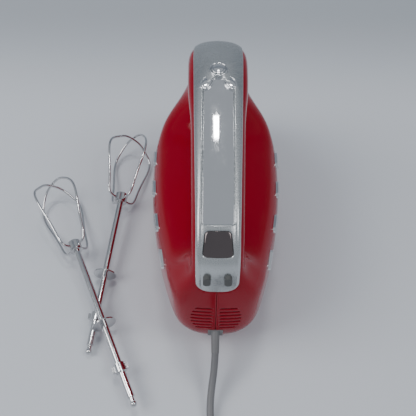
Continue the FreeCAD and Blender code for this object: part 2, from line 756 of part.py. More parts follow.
def motor_cradle():
    """Two saddles that stand on the base and carry the stator."""
    saddles = []
    for y in (STATOR_REAR + 4, STATOR_REAR + STATOR_LENGTH - 10):
        saddles.append(box(-20, 20, y, y + 6, BASE_THICKNESS, MOTOR_Z - STATOR_HALF_HEIGHT))
    rail = box(-6, 6, STATOR_REAR + 4, STATOR_REAR + STATOR_LENGTH - 4, BASE_THICKNESS, 8)
    return joined(rail, *saddles)


def brush(side):
    x0, x1 = sorted((side * (COMMUTATOR_RADIUS + 0.15), side * (COMMUTATOR_RADIUS + 8)))
    return box(x0, x1, BRUSH_Y - 2.5, BRUSH_Y + 2.5, MOTOR_Z - 3, MOTOR_Z + 3)


def brush_holder(side):
    """Brass sleeve round a brush, closed at its outer end."""
    x0, x1 = sorted((side * (COMMUTATOR_RADIUS + 1), side * (COMMUTATOR_RADIUS + 11.5)))
    sleeve = box(x0, x1, BRUSH_Y - 3.5, BRUSH_Y + 3.5, MOTOR_Z - 4, MOTOR_Z + 4)
    hollow_end = COMMUTATOR_RADIUS + 10.5
    x0, x1 = sorted((0, side * hollow_end))
    return sleeve.cut(box(x0, x1, BRUSH_Y - 2.5, BRUSH_Y + 2.5, MOTOR_Z - 3, MOTOR_Z + 3))


def gear_carrier():
    """Frame that stands on the base: two decks for the bushes and a wall for the front bearing."""
    outer = SPINDLE_X + 8
    decks = [box(-outer, outer, SPINDLE_Y - 11, SPINDLE_Y + 11, z, z + DECK_THICKNESS)
             for z in (DECK_LOW, DECK_HIGH)]
    wall = box(-outer, outer, FRONT_WALL, FRONT_WALL + 5, DECK_LOW, DECK_HIGH + DECK_THICKNESS)
    links = [box(x - 2, x + 2, FRONT_WALL, SPINDLE_Y + 11, z, z + DECK_THICKNESS)
             for x in (-outer + 2, outer - 2) for z in (DECK_LOW, DECK_HIGH)]
    legs = [box(x - 2, x + 2, y, y + 5, BASE_THICKNESS, DECK_LOW + 1)
            for x in (-SPINDLE_X + 1, SPINDLE_X - 1) for y in (FRONT_WALL, SPINDLE_Y + 5)]
    frame = joined(decks[0], decks[1], wall, *links, *legs)
    cuts = [along_y(BEARING_RADIUS, FRONT_WALL - 1, FRONT_WALL + 6)]
    for side in (-1, 1):
        x = side * SPINDLE_X
        cuts.append(rod(SPINDLE_RADIUS + BUSH_WALL, (x, SPINDLE_Y, 0), (x, SPINDLE_Y, 90)))
    return frame.cut(cuts)


def spindle_bushes():
    bushes = []
    for side in (-1, 1):
        for z in (DECK_LOW, DECK_HIGH):
            x = side * SPINDLE_X
            bushes.append(tube(SPINDLE_RADIUS + BUSH_WALL, SPINDLE_RADIUS + BUSH_CLEARANCE,
                               (x, SPINDLE_Y, z), (x, SPINDLE_Y, z + DECK_THICKNESS)))
    return group(bushes)


def spindle(side):
    """Hollow spindle with the socket that a beater's shank goes into."""
    x = side * SPINDLE_X
    body = rod(SPINDLE_RADIUS, (x, SPINDLE_Y, SPINDLE_LOW), (x, SPINDLE_Y, SPINDLE_HIGH))
    socket = rod(SHANK_RADIUS + SOCKET_CLEARANCE, (x, SPINDLE_Y, SPINDLE_LOW),
                 (x, SPINDLE_Y, SPINDLE_LOW + SOCKET_DEPTH))
    hollow = rod(PIN_RADIUS + PLAY, (x, SPINDLE_Y, SPINDLE_LOW), (x, SPINDLE_Y, SPINDLE_HIGH))
    return body.cut([socket, hollow])


def worm_wheel(side):
    """Helical wheel whose teeth lie in the worm's thread at rest."""
    centre = Vec(side * SPINDLE_X, SPINDLE_Y, MOTOR_Z)
    low, high = MOTOR_Z - WHEEL_WIDTH / 2, MOTOR_Z + WHEEL_WIDTH / 2
    lead_angle = math.atan2(WORM_LEAD, 2 * math.pi * WORM_RADIUS)
    twist = WHEEL_WIDTH * math.tan(lead_angle) / WHEEL_RADIUS
    root, tip = WHEEL_RADIUS - TOOTH_DEDENDUM, WHEEL_RADIUS + TOOTH_ADDENDUM
    blank = rod(root, (centre.x, centre.y, low), (centre.x, centre.y, high))

    def tooth_outline(turn, z):
        corners = ((root - 0.3, -1.0), (tip, -0.42), (tip, 0.42), (root - 0.3, 1.0))
        points = []
        for r, half in corners:
            angle = turn + half / r
            points.append(Vec(centre.x + r * math.cos(angle), centre.y + r * math.sin(angle), z))
        return Part.makePolygon(points + points[:1])

    teeth = []
    for i in range(WHEEL_TEETH):
        turn = 2 * math.pi * i / WHEEL_TEETH
        teeth.append(Part.makeLoft([tooth_outline(turn - twist / 2, low),
                                    tooth_outline(turn + twist / 2, high)], True, True))
    wheel = blank.fuse(teeth)
    return wheel.cut(rod(SPINDLE_RADIUS, (centre.x, centre.y, low - 1), (centre.x, centre.y, high + 1)))


# ---------------------------------------------------------- ejector
def eject_block(grow):
    """Space of the eject trigger in the front wall of the finger gap."""
    half = EJECT_HALF_WIDTH + grow
    return box(-half, half, EJECT_REAR - grow, EJECT_FRONT + EJECT_STROKE + grow,
               EJECT_Z - EJECT_HALF_HEIGHT - grow, EJECT_Z + EJECT_HALF_HEIGHT + grow)


def eject_trigger():
    block = box(-EJECT_HALF_WIDTH, EJECT_HALF_WIDTH, EJECT_REAR, EJECT_FRONT,
                EJECT_Z - EJECT_HALF_HEIGHT, EJECT_Z + EJECT_HALF_HEIGHT)
    back = [e for e in block.Edges if e.BoundBox.YMax < EJECT_REAR + 0.01]
    return block.makeFillet(1.5, back)


def eject_fork():
    """Push rod from the trigger down to the two spindles."""
    post = box(-3, 3, EJECT_FRONT + EJECT_STROKE + 1.0, EJECT_FRONT + EJECT_STROKE + 5.0,
               FORK_LOW, EJECT_Z + 4)
    bar = box(-SPINDLE_X - 4, SPINDLE_X + 4, SPINDLE_Y - 4, EJECT_FRONT + EJECT_STROKE + 5.0,
              FORK_LOW, FORK_LOW + 3)
    pins = [rod(PIN_RADIUS, (side * SPINDLE_X, SPINDLE_Y, SPINDLE_LOW + SOCKET_DEPTH + 1),
                (side * SPINDLE_X, SPINDLE_Y, FORK_LOW + 1)) for side in (-1, 1)]
    return joined(post, bar, *pins)


def eject_spring():
    """Coil spring shown as its sleeve between the fork and the upper deck."""
    return tube(4.0, 2.6, (0, SPINDLE_Y + 1.0, DECK_HIGH + DECK_THICKNESS),
                (0, SPINDLE_Y + 1.0, FORK_LOW - PLAY - EJECT_DROP))


# ---------------------------------------------------------- beaters
# A beater is made upright: its shank points up, the hub's end is at zero and
# the cage hangs below.  It is then laid on the surface.
def hoop(length):
    """One wire bent into a hoop, from one side of the hub round to the other."""
    half = ((3.5, -4.0), (7.0, -4.0), (10.6, -4.8), (12.8, -8.0), (14.4, -15.0), (17.6, -30.0),
            (CAGE_RADIUS, -46.0), (CAGE_RADIUS - 0.6, -57.0), (15.2, 6.4 - length),
            (8.0, 1.2 - length))
    points = [Vec(r, 0, z) for r, z in half] + [Vec(0, 0, -length)]
    points += [Vec(-r, 0, z) for r, z in reversed(half)]
    line = Part.BSplineCurve()
    line.interpolate(points)
    path = Part.Wire([line.toShape()])
    start = Part.Wire([Part.Circle(points[0], line.tangent(line.FirstParameter)[0],
                                   WIRE_RADIUS).toShape()])
    return path.makePipeShell([start], True, False)


def beater_loops():
    """Two crossed hoops; the inner one is shorter, so that it passes inside the outer one."""
    outer = hoop(CAGE_LENGTH)
    inner = hoop(CAGE_LENGTH - 2 * WIRE_RADIUS - 0.3)
    outer.rotate(Vec(0, 0, 0), Vec(0, 0, 1), 45)
    inner.rotate(Vec(0, 0, 0), Vec(0, 0, 1), -45)
    return outer, inner


def beater_hub(loops):
    """Lobed hub that the four wire ends are pressed into."""
    hub = rod(HUB_RADIUS - 1.2, (0, 0, -HUB_LENGTH), (0, 0, 0))
    for i in range(4):
        angle = math.radians(45 + 90 * i)
        x, y = 2.4 * math.cos(angle), 2.4 * math.sin(angle)
        hub = hub.fuse(rod(HUB_RADIUS - 2.4, (x, y, -HUB_LENGTH + 1), (x, y, -1.5)))
    return hub.removeSplitter().cut(list(loops) + [rod(SHANK_RADIUS, (0, 0, -6), (0, 0, 1))])


def beater_shank():
    """Shank with a neck and a small round end."""
    body = rod(SHANK_RADIUS, (0, 0, -6), (0, 0, NECK_AT))
    neck = rod(NECK_RADIUS, (0, 0, NECK_AT), (0, 0, TIP_AT - 2))
    ball = Part.makeSphere(SHANK_RADIUS - 0.2, Vec(0, 0, TIP_AT - SHANK_RADIUS))
    return joined(body, neck, ball)


def beater_disc():
    ring = tube(DISC_RADIUS, SHANK_RADIUS, (0, 0, DISC_AT), (0, 0, DISC_AT + DISC_THICKNESS))
    return ring.fuse(tube(SHANK_RADIUS + 1.2, SHANK_RADIUS, (0, 0, DISC_AT - 2),
                          (0, 0, DISC_AT + 1))).removeSplitter()


def beater_collar():
    """Collar with two wings that lock into the spindle."""
    ring = rod(COLLAR_RADIUS, (0, 0, COLLAR_AT - 3), (0, 0, COLLAR_AT + 3))
    wings = box(-COLLAR_WING, COLLAR_WING, -1.2, 1.2, COLLAR_AT - 2, COLLAR_AT + 2)
    return joined(ring, wings).cut(rod(SHANK_RADIUS, (0, 0, COLLAR_AT - 9), (0, 0, COLLAR_AT + 9)))


def lay(shape, hub_end, tip):
    """Turn an upright beater so that its shank points from its hub's end to its tip."""
    hub_end, tip = Vec(*hub_end), Vec(*tip)
    along = (tip - hub_end).normalize()
    across = along.cross(Vec(0, 0, 1)).normalize()
    up = across.cross(along)
    matrix = FreeCAD.Matrix(across.x, -up.x, along.x, hub_end.x, across.y, -up.y, along.y,
                            hub_end.y, across.z, -up.z, along.z, hub_end.z, 0, 0, 0, 1)
    laid = shape.copy()
    laid.Placement = FreeCAD.Placement(matrix).multiply(laid.Placement)
    return laid


def beater_pieces():
    loops = beater_loops()
    return {"outer_loop": loops[0], "inner_loop": loops[1], "hub": beater_hub(loops),
            "shank": beater_shank(), "disc": beater_disc(), "collar": beater_collar()}


# ------------------------------------------------------------- cord
def rounded_path(points):
    """Straight runs joined by tangent arcs, each as large as its two runs allow."""
    points = [Vec(*p) for p in points]
    edges, radii = [], []
    at = points[0]
    for before, corner, after in zip(points, points[1:], points[2:]):
        back = (before - corner).normalize()
        ahead = (after - corner).normalize()
        half_turn = (math.pi - back.getAngle(ahead)) / 2
        reach = 0.45 * min((before - corner).Length, (after - corner).Length)
        radius = reach / math.tan(half_turn)
        radii.append(radius)
        centre = corner + (back + ahead).normalize() * (radius / math.cos(half_turn))
        middle = centre + (corner - centre).normalize() * radius
        start, end = corner + back * reach, corner + ahead * reach
        edges.append(Part.LineSegment(at, start).toShape())
        edges.append(Part.Arc(start, middle, end).toShape())
        at = end
    edges.append(Part.LineSegment(at, points[-1]).toShape())
    return Part.Wire(edges), radii


def cord_run(name, points):
    """Solid tube along a route, checked against its length and printed with its radii."""
    path, radii = rounded_path(points)
    start, way = Vec(*points[0]), Vec(*points[1]) - Vec(*points[0])
    section = Part.Wire([Part.Circle(start, way, CORD_RADIUS).toShape()])
    solid = path.makePipeShell([section], True, False)
    expected = math.pi * CORD_RADIUS ** 2 * path.Length
    print(name, "length", round(path.Length, 1), "volume share", round(solid.Volume / expected, 4),
          "radii", [round(r, 1) for r in radii])
    return solid


RELIEF_END = RELIEF_START + RELIEF_WAY * RELIEF_LENGTH
FLOOR_Z = CORD_RADIUS + 0.2
CORD_ROUTE = (tuple(RELIEF_END), (-0.5, -97.5, 16.6), (-2.2, -107.5, 11.0),
              (-3.2, -118.0, 6.2), (-2.6, -130.0, 3.4), (-2.2, -143.5, FLOOR_Z),
              (-3.0, -157.0, FLOOR_Z))
PLUG_ROUTE = ((45.0, -205.0, FLOOR_Z), (52.0, -205.1, 3.6), (59.0, -205.0, 6.0),
              (PLUG_START, -205.0, PLUG_Z))


def strain_relief():
    """Tapered sleeve with a foot held in the outlet block."""
    cone = Part.makeCone(RELIEF_RADIUS, RELIEF_END_RADIUS, RELIEF_LENGTH, RELIEF_START, RELIEF_WAY)
    foot = rod(RELIEF_RADIUS, RELIEF_START - RELIEF_WAY * RELIEF_FOOT, RELIEF_START)
    return joined(foot, cone)


def cord_coil():
    half_wide = COIL_TURNS_WIDE * CORD_RADIUS
    high = 2 * CORD_RADIUS * COIL_TURNS_HIGH
    low = Vec(COIL_CENTRE.x, COIL_CENTRE.y, 0.2)
    return tube(COIL_RADIUS + half_wide, COIL_RADIUS - half_wide, tuple(low),
                tuple(low + Vec(0, 0, high)))


def plug_body():
    """Flat two-pin plug lying on the surface."""
    y = PLUG_ROUTE[-1][1]
    body = box(PLUG_START, PLUG_START + PLUG_LENGTH, y - 8, y + 8, 0.2, 2 * PLUG_Z - 0.2)
    front = box(PLUG_START + PLUG_LENGTH - 8, PLUG_START + PLUG_LENGTH, y - 13, y + 13,
                0.2, 2 * PLUG_Z - 0.2)
    whole = joined(body, front)
    upright = [e for e in whole.Edges if e.Length > 2 * PLUG_Z - 0.5 and
               abs(e.tangentAt(e.FirstParameter).z) > 0.99]
    return whole.makeFillet(2.0, upright)


def plug_pins():
    x = PLUG_START + PLUG_LENGTH
    y = PLUG_ROUTE[-1][1]
    return group(rod(2.0, (x, y + side * 9.5, PLUG_Z), (x + PIN_LENGTH, y + side * 9.5, PLUG_Z))
                 for side in (-1, 1))


# ------------------------------------------------------- everything
def main():
    housing = {
        "right_shell": shell(1), "left_shell": shell(-1),
        "handle_cover": cover(), "channel_inlay": inlay(channel_region),
        "display_window": inlay(lens_region), "base_plate": base_plate(),
        "right_side_trims": side_trims(1), "left_side_trims": side_trims(-1),
        "rear_pads": group(rear_pad(side) for side in (-1, 1)),
        "base_screws": group(base_screw(side * x, y) for x, y in SCREW_PLACES for side in (-1, 1)),
        "button_rims": group(rim(plug) for plug in PLUGS),
        "round_button": button(PLUGS[0], ROUND_PLACE, ROUND_NORMAL, ROUND_BUTTON_STROKE),
        "left_oval_button": button(PLUGS[1], oval_place(-1), OVAL_NORMAL, OVAL_BUTTON_STROKE),
        "right_oval_button": button(PLUGS[2], oval_place(1), OVAL_NORMAL, OVAL_BUTTON_STROKE),
        "switch_board": switch_board(),
        "eject_trigger": eject_trigger(), "eject_fork": eject_fork(),
        "eject_spring": eject_spring(),
    }
    drive = {
        "armature_shaft": armature_shaft(), "armature_core": armature_core(),
        "rotor_windings": rotor_windings(), "commutator": commutator(),
        "cooling_fan": cooling_fan(), "stator_core": stator_core(),
        "field_coils": group(winding_space(side, 5.0) for side in (-1, 1)),
        "rear_bearing": bearing(REAR_BEARING, REAR_BEARING + 5),
        "front_bearing": bearing(FRONT_WALL, FRONT_WALL + 5),
        "motor_bridge": motor_bridge(), "motor_cradle": motor_cradle(),
        "carbon_brushes": group(brush(side) for side in (-1, 1)),
        "brush_holders": group(brush_holder(side) for side in (-1, 1)),
        "gear_carrier": gear_carrier(), "spindle_bushes": spindle_bushes(),
        "left_spindle": spindle(-1), "right_spindle": spindle(1),
        "left_worm_wheel": worm_wheel(-1), "right_worm_wheel": worm_wheel(1),
    }
    cord = {
        "cord_outlet": cord_outlet(), "strain_relief": strain_relief(),
        "cord_tube": cord_run("cord_tube", CORD_ROUTE), "cord_coil": cord_coil(),
        "cord_end": cord_run("cord_end", PLUG_ROUTE), "plug_body": plug_body(),
        "plug_pins": plug_pins(),
    }
    nodes = {**housing, **drive, **cord}
    for name, hub_end, tip in BEATERS:
        for piece, shape in beater_pieces().items():
            nodes[f"{name}_{piece}"] = lay(shape, hub_end, tip)
    for name, shape in nodes.items():
        save(name, shape)
    print(len(nodes), "nodes")


main()
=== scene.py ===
# %% [markdown]
# A hand mixer, built as looks around a fixed frame.
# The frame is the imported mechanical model.  Every new surface below is worked
# out as whole numpy arrays, in metres, in the same frame: +Z up, +Y towards
# the front tip, the origin under the middle of the flat sole.

# %% load the frame
import json
import math

import bpy
import numpy as np
from mathutils import Matrix, Vector


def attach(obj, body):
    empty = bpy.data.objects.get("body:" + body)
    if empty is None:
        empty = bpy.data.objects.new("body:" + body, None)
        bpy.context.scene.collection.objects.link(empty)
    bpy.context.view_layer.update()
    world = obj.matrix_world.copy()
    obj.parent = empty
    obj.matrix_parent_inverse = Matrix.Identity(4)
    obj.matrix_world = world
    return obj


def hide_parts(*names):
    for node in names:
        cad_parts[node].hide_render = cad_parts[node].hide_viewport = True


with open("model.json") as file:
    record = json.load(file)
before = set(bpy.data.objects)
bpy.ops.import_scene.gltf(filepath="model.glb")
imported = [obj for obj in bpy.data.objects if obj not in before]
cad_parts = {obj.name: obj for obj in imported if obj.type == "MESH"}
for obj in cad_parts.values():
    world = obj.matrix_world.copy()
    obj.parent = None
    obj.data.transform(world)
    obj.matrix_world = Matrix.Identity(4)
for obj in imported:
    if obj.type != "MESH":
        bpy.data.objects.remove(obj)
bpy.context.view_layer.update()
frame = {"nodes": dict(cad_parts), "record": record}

MM = 0.001

# %% [markdown]
# The camera comes first, because the lead has to leave the view before it
# is wound up.  It stands behind the mixer and looks down on it by about fifty
# degrees, with a lens that is a little longer than normal.

# %% camera
VIEW_DOWN = math.radians(52.0)
IMAGE_SIDE = 416
FOCAL_IN_IMAGE_WIDTHS = 520.0 / IMAGE_SIDE
ROLL = math.radians(0.55)
CAMERA_PLACE = (-0.0065, -0.225, 0.353)


def make_camera():
    """Camera turned up from straight down by the view angle, then rolled about its own axis."""
    data = bpy.data.cameras.new("camera")
    data.sensor_width = 36.0
    data.lens = data.sensor_width * FOCAL_IN_IMAGE_WIDTHS
    data.shift_x = 0.003
    data.clip_start = 0.01
    camera = bpy.data.objects.new("camera", data)
    camera.matrix_world = (Matrix.Translation(CAMERA_PLACE)
                           @ Matrix.Rotation(math.pi / 2 - VIEW_DOWN, 4, "X")
                           @ Matrix.Rotation(ROLL, 4, "Z"))
    bpy.context.scene.collection.objects.link(camera)
    bpy.context.scene.camera = camera
    return camera


camera = make_camera()
print("camera at", [round(v, 3) for v in camera.matrix_world.translation])

# %% [markdown]
# Meshes are made from grids.  A grid of points becomes quads between each
# pair of neighbours; it can be closed round either way, and a closed end row
# can be gathered into one pole.

# %% grids into meshes
def grid_faces(rows, columns, wrap_rows, wrap_columns):
    """Quads between neighbouring points of a grid, as a whole index array."""
    i = np.arange(rows if wrap_rows else rows - 1)
    j = np.arange(columns if wrap_columns else columns - 1)
    i, j = np.meshgrid(i, j, indexing="ij")
    i2, j2 = (i + 1) % rows, (j + 1) % columns
    return np.stack([i * columns + j, i2 * columns + j, i2 * columns + j2, i * columns + j2],
                    axis=-1).reshape(-1, 4)


def new_piece(name, points, faces, material):
    """Mesh object at the origin from an array of points and a list of faces."""
    mesh = bpy.data.meshes.new(name)
    mesh.from_pydata(points.reshape(-1, 3).tolist(), [], [list(f) for f in faces])
    mesh.validate()
    mesh.update()
    mesh.polygons.foreach_set("use_smooth", [True] * len(mesh.polygons))
    mesh.materials.append(material)
    piece = bpy.data.objects.new(name, mesh)
    bpy.context.scene.collection.objects.link(piece)
    return piece


def grid_piece(name, points, material, wrap_rows=False, wrap_columns=False, poles=(), flip=False):
    """Piece from a grid of points; poles names the end rows to close with a fan: 0, -1 or both."""
    rows, columns = points.shape[:2]
    faces = grid_faces(rows, columns, wrap_rows, wrap_columns).tolist()
    points = points.reshape(-1, 3)
    for pole in poles:
        start = 0 if pole == 0 else (rows - 1) * columns
        centre = points[start:start + columns].mean(axis=0)
        points = np.vstack([points, centre])
        tip = len(points) - 1
        for j in range(columns):
            a, b = start + j, start + (j + 1) % columns
            faces.append([tip, b, a] if pole == -1 else [tip, a, b])
    if flip:
        faces = [face[::-1] for face in faces]
    return new_piece(name, points, faces, material)


def merged(name, pieces, body, replaces=()):
    """Joins pieces into one object, rides it on a body and lets it stand for CAD nodes."""
    with bpy.context.temp_override(active_object=pieces[0], selected_editable_objects=pieces,
                                   selected_objects=pieces):
        if len(pieces) > 1:
            bpy.ops.object.join()
    piece = pieces[0]
    piece.name = name
    piece.data.name = name
    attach(piece, body)
    if replaces:
        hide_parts(*replaces)
    print(f"{name}: {len(piece.data.polygons)} faces")
    return piece

# %% [markdown]
# Finishes.  Each one starts from the colour and gloss of the real material
# and gets a large, faint variation of colour, a fine variation of gloss and a
# very small relief, all in object space.  The noise that they share is a node
# group with a coarse and a fine output, so that each material sets its own
# grain size but the effect is built once.

# %% shared grain group
def build_grain_group():
    """Three noises of the object's own coordinates: coarse, fine, and one cut to soft patches."""
    group = bpy.data.node_groups.new("grain", "ShaderNodeTree")
    for name, default in (("Coarse Scale", 30.0), ("Fine Scale", 900.0)):
        socket = group.interface.new_socket(name, in_out="INPUT", socket_type="NodeSocketFloat")
        socket.default_value = default
    for name in ("Coarse", "Fine", "Smudge"):
        group.interface.new_socket(name, in_out="OUTPUT", socket_type="NodeSocketFloat")
    nodes, links = group.nodes, group.links
    source = nodes.new("NodeGroupInput")
    result = nodes.new("NodeGroupOutput")
    place = nodes.new("ShaderNodeTexCoord")
    for name, scale, detail in (("Coarse", "Coarse Scale", 3.0), ("Fine", "Fine Scale", 2.0)):
        noise = nodes.new("ShaderNodeTexNoise")
        noise.inputs["Detail"].default_value = detail
        links.new(place.outputs["Object"], noise.inputs["Vector"])
        links.new(source.outputs[scale], noise.inputs["Scale"])
        links.new(noise.outputs["Fac"], result.inputs[name])
    smudge = nodes.new("ShaderNodeTexNoise")
    smudge.inputs["Scale"].default_value = 75.0
    smudge.inputs["Detail"].default_value = 6.0
    smudge.inputs["Distortion"].default_value = 1.5
    ramp = nodes.new("ShaderNodeMapRange")
    ramp.inputs["From Min"].default_value = 0.52
    ramp.inputs["From Max"].default_value = 0.70
    links.new(place.outputs["Object"], smudge.inputs["Vector"])
    links.new(smudge.outputs["Fac"], ramp.inputs["Value"])
    links.new(ramp.outputs["Result"], result.inputs["Smudge"])
    return group


GRAIN = build_grain_group()


# %% painted shade by a stored mask or along the floor
def shaded(nodes, links, tint, attribute, deep, start=0.0, end=1.0):
    """Painted shade: runs a colour towards a darker one by a mesh attribute, or by Y where none is
    named.
    """
    if attribute:
        source = nodes.new("ShaderNodeAttribute")
        source.attribute_name = attribute
        value = source.outputs["Fac"]
    else:
        place = nodes.new("ShaderNodeTexCoord")
        split = nodes.new("ShaderNodeSeparateXYZ")
        links.new(place.outputs["Object"], split.inputs["Vector"])
        value = split.outputs["Y"]
    span = nodes.new("ShaderNodeMapRange")
    span.interpolation_type = "SMOOTHSTEP"
    span.inputs["From Min"].default_value = start
    span.inputs["From Max"].default_value = end
    mix = nodes.new("ShaderNodeMix")
    mix.data_type = "RGBA"
    mix.inputs["B"].default_value = (*deep, 1.0)
    links.new(value, span.inputs["Value"])
    links.new(span.outputs["Result"], mix.inputs["Factor"])
    links.new(tint, mix.inputs["A"])
    return mix.outputs["Result"]


# %% one finish from its colours and numbers
def finish(name, dark, light, rough, metallic=0.0, coarse=30.0, fine=900.0, relief=0.0,
           relief_depth=0.0001, smudge=0.0, coat=0.0, sheen=0.0, specular=0.5, ior=1.5,
           shade=None):
    """Principled material whose colour runs from dark to light and roughness over a range."""
    material = bpy.data.materials.new(name)
    material.use_nodes = True
    nodes, links = material.node_tree.nodes, material.node_tree.links
    shader = nodes["Principled BSDF"]
    grain = nodes.new("ShaderNodeGroup")
    grain.node_tree = GRAIN
    grain.inputs["Coarse Scale"].default_value = coarse
    grain.inputs["Fine Scale"].default_value = fine
    colour = nodes.new("ShaderNodeMix")
    colour.data_type = "RGBA"
    colour.inputs["A"].default_value = (*dark, 1.0)
    colour.inputs["B"].default_value = (*light, 1.0)
    links.new(grain.outputs["Coarse"], colour.inputs["Factor"])
    tint = colour.outputs["Result"]
    # painted shade: where shade is given, the colour runs darker by a stored mask or along Y
    if shade:
        tint = shaded(nodes, links, tint, *shade)
    links.new(tint, shader.inputs["Base Color"])
    gloss = nodes.new("ShaderNodeMapRange")
    gloss.inputs["From Min"].default_value = 0.3
    gloss.inputs["From Max"].default_value = 0.7
    gloss.inputs["To Min"].default_value = rough[0]
    gloss.inputs["To Max"].default_value = rough[1]
    links.new(grain.outputs["Fine"], gloss.inputs["Value"])
    roughness = gloss.outputs["Result"]
    if smudge:
        add = nodes.new("ShaderNodeMath")
        add.operation = "MULTIPLY_ADD"
        add.inputs[1].default_value = smudge
        links.new(grain.outputs["Smudge"], add.inputs[0])
        links.new(roughness, add.inputs[2])
        roughness = add.outputs[0]
    links.new(roughness, shader.inputs["Roughness"])
    if relief:
        bump = nodes.new("ShaderNodeBump")
        bump.inputs["Strength"].default_value = relief
        bump.inputs["Distance"].default_value = relief_depth
        links.new(grain.outputs["Fine"], bump.inputs["Height"])
        links.new(bump.outputs["Normal"], shader.inputs["Normal"])
    shader.inputs["Metallic"].default_value = metallic
    shader.inputs["Coat Weight"].default_value = coat
    shader.inputs["Coat Roughness"].default_value = 0.04
    shader.inputs["Sheen Weight"].default_value = sheen
    shader.inputs["IOR"].default_value = ior
    shader.inputs["Specular IOR Level"].default_value = specular
    return material


# The red runs to near black where the stored slot mask is set: painted shade inside the cooling slots.
RED = finish("red_gloss", (0.27, 0.001, 0.012), (0.33, 0.002, 0.016), (0.10, 0.16),
             coarse=14.0, fine=500.0, relief=0.03, smudge=0.03, coat=0.04, ior=1.2,
             shade=("painted_slot_shade", (0.03, 0.0, 0.002)))
SILVER = finish("silver_satin", (0.52, 0.54, 0.545), (0.59, 0.61, 0.615), (0.22, 0.30),
                metallic=0.9, coarse=40.0, fine=2600.0, relief=0.05, smudge=0.05)
CHROME = finish("bright_chrome", (0.74, 0.75, 0.77), (0.80, 0.81, 0.82), (0.03, 0.07),
                metallic=1.0, coarse=60.0, fine=700.0, smudge=0.05)
WINDOW = finish("dark_mirror", (0.15, 0.13, 0.13), (0.20, 0.17, 0.17), (0.02, 0.05),
                metallic=1.0, coarse=60.0, fine=700.0, smudge=0.03)
GREY = finish("grey_plastic", (0.17, 0.17, 0.175), (0.21, 0.21, 0.215), (0.42, 0.55),
              coarse=60.0, fine=2200.0, relief=0.12)
LEAD = finish("grey_lead", (0.16, 0.16, 0.17), (0.20, 0.20, 0.205), (0.38, 0.5),
              coarse=60.0, fine=1800.0, relief=0.15)
RUBBER = finish("dark_rubber", (0.06, 0.062, 0.062), (0.09, 0.092, 0.09), (0.6, 0.75),
                coarse=120.0, fine=2500.0, relief=0.3, sheen=0.1)
STEEL = finish("plain_steel", (0.48, 0.48, 0.49), (0.58, 0.58, 0.59), (0.22, 0.34),
               metallic=1.0, coarse=50.0, fine=1500.0, relief=0.08)
POLISHED = finish("polished_steel", (0.60, 0.60, 0.61), (0.70, 0.70, 0.71), (0.08, 0.16),
                  metallic=1.0, coarse=70.0, fine=1300.0, smudge=0.08)
LAMINATED = finish("laminated_steel", (0.12, 0.12, 0.125), (0.2, 0.2, 0.2), (0.45, 0.6),
                   metallic=0.8, coarse=400.0, fine=2600.0, relief=0.3)
COPPER = finish("copper_wire", (0.42, 0.12, 0.04), (0.62, 0.22, 0.09), (0.25, 0.4),
                metallic=1.0, coarse=300.0, fine=3000.0, relief=0.4)
BRASS = finish("brass_metal", (0.62, 0.44, 0.16), (0.72, 0.54, 0.24), (0.2, 0.32),
               metallic=1.0, coarse=80.0, fine=1500.0, relief=0.05)
BLACK = finish("black_plastic", (0.012, 0.012, 0.013), (0.022, 0.022, 0.022), (0.4, 0.55),
               coarse=60.0, fine=2200.0, relief=0.15)
NYLON = finish("white_nylon", (0.74, 0.72, 0.64), (0.82, 0.80, 0.72), (0.35, 0.45),
               coarse=60.0, fine=1600.0, relief=0.08)
BOARD = finish("board_green", (0.01, 0.08, 0.03), (0.02, 0.13, 0.05), (0.3, 0.45),
               coarse=200.0, fine=1500.0, relief=0.1)
print("materials:", len(bpy.data.materials))

# %% [markdown]
# Every CAD node takes a finish here.  The nodes that no surface below stands
# for, such as the beaters, the side trims and everything inside, keep their
# own mesh and show it with that finish.

# %% finishes for the carried-over nodes
SLOT_FINISH = {"red_gloss": RED, "silver_satin": SILVER, "bright_chrome": CHROME,
               "dark_mirror": WINDOW, "grey_plastic": GREY, "dark_rubber": RUBBER,
               "plain_steel": STEEL, "polished_steel": POLISHED, "laminated_steel": LAMINATED,
               "copper_wire": COPPER, "brass_metal": BRASS, "black_plastic": BLACK,
               "white_nylon": NYLON, "board_green": BOARD}
for subpart in frame["record"]["subparts"]:
    node = frame["nodes"][subpart["node"]]
    node.data.materials.clear()
    node.data.materials.append(SLOT_FINISH[subpart["material_slot"]])

# %% [markdown]
# The housing is one flowing form: a closed loop of sections round the finger
# gap.  Each section is a rounded outline that starts on the gap's edge and
# ends on the side line; it is narrow at the handle and wide at the body.  The
# poles of that form are worked out from the same driving points as the frame's
# shells, and a uniform cubic spline through them gives a smooth surface with
# no facets, which a gloss finish needs.

# %% driving points and poles of the form
BODY_HALF_WIDTH, BODY_REAR, BODY_FRONT = 48.8, -76.0, 138.0
GRIP_HALF_WIDTH, GRIP_WIDENING = 16.6, 0.025
BODY_TOP, NOSE_TOP, WALL = 83.0, 154.0, 2.4
STATION_STEPS, ROWS = 3, 16
FRONT_TAPER_FROM, FRONT_TAPER_SPAN, FRONT_TAPER_LOSS = 57.2, 78.0, 53.4
REAR_TAPER_FROM, REAR_TAPER_SPAN, REAR_TAPER_SHARE = 50.0, 126.0, 0.49
SHOULDER_TOP, SHOULDER_SPAN = 101.1, 34.6
REAR_TUCK_TOP, REAR_TUCK_SPAN = 36.0, 28.8
REAR_FACE_FROM, REAR_FACE_SPAN = 35.0, 35.0
NECK_WIDENING, NECK_FROM, NECK_SPAN = 1.7, 10.0, 30.0
SECTION_POWER, LOW_POWER, REAR_POWER, ROOT_POWER = 2.6, 0.6, 2.66, 3.2
GAP_LINE = np.array([
    (5, BODY_TOP), (24, BODY_TOP), (42, BODY_TOP), (54, BODY_TOP + 1), (60, BODY_TOP + 5),
    (63, BODY_TOP + 11), (64, 100), (64, 107), (63, 114), (60, 121), (52, 126), (36, 124),
    (16, 120), (-4, 115), (-24, 110), (-41, 104), (-50, 96), (-51, 88), (-44, BODY_TOP + 1),
    (-30, BODY_TOP), (-14, BODY_TOP)], float)
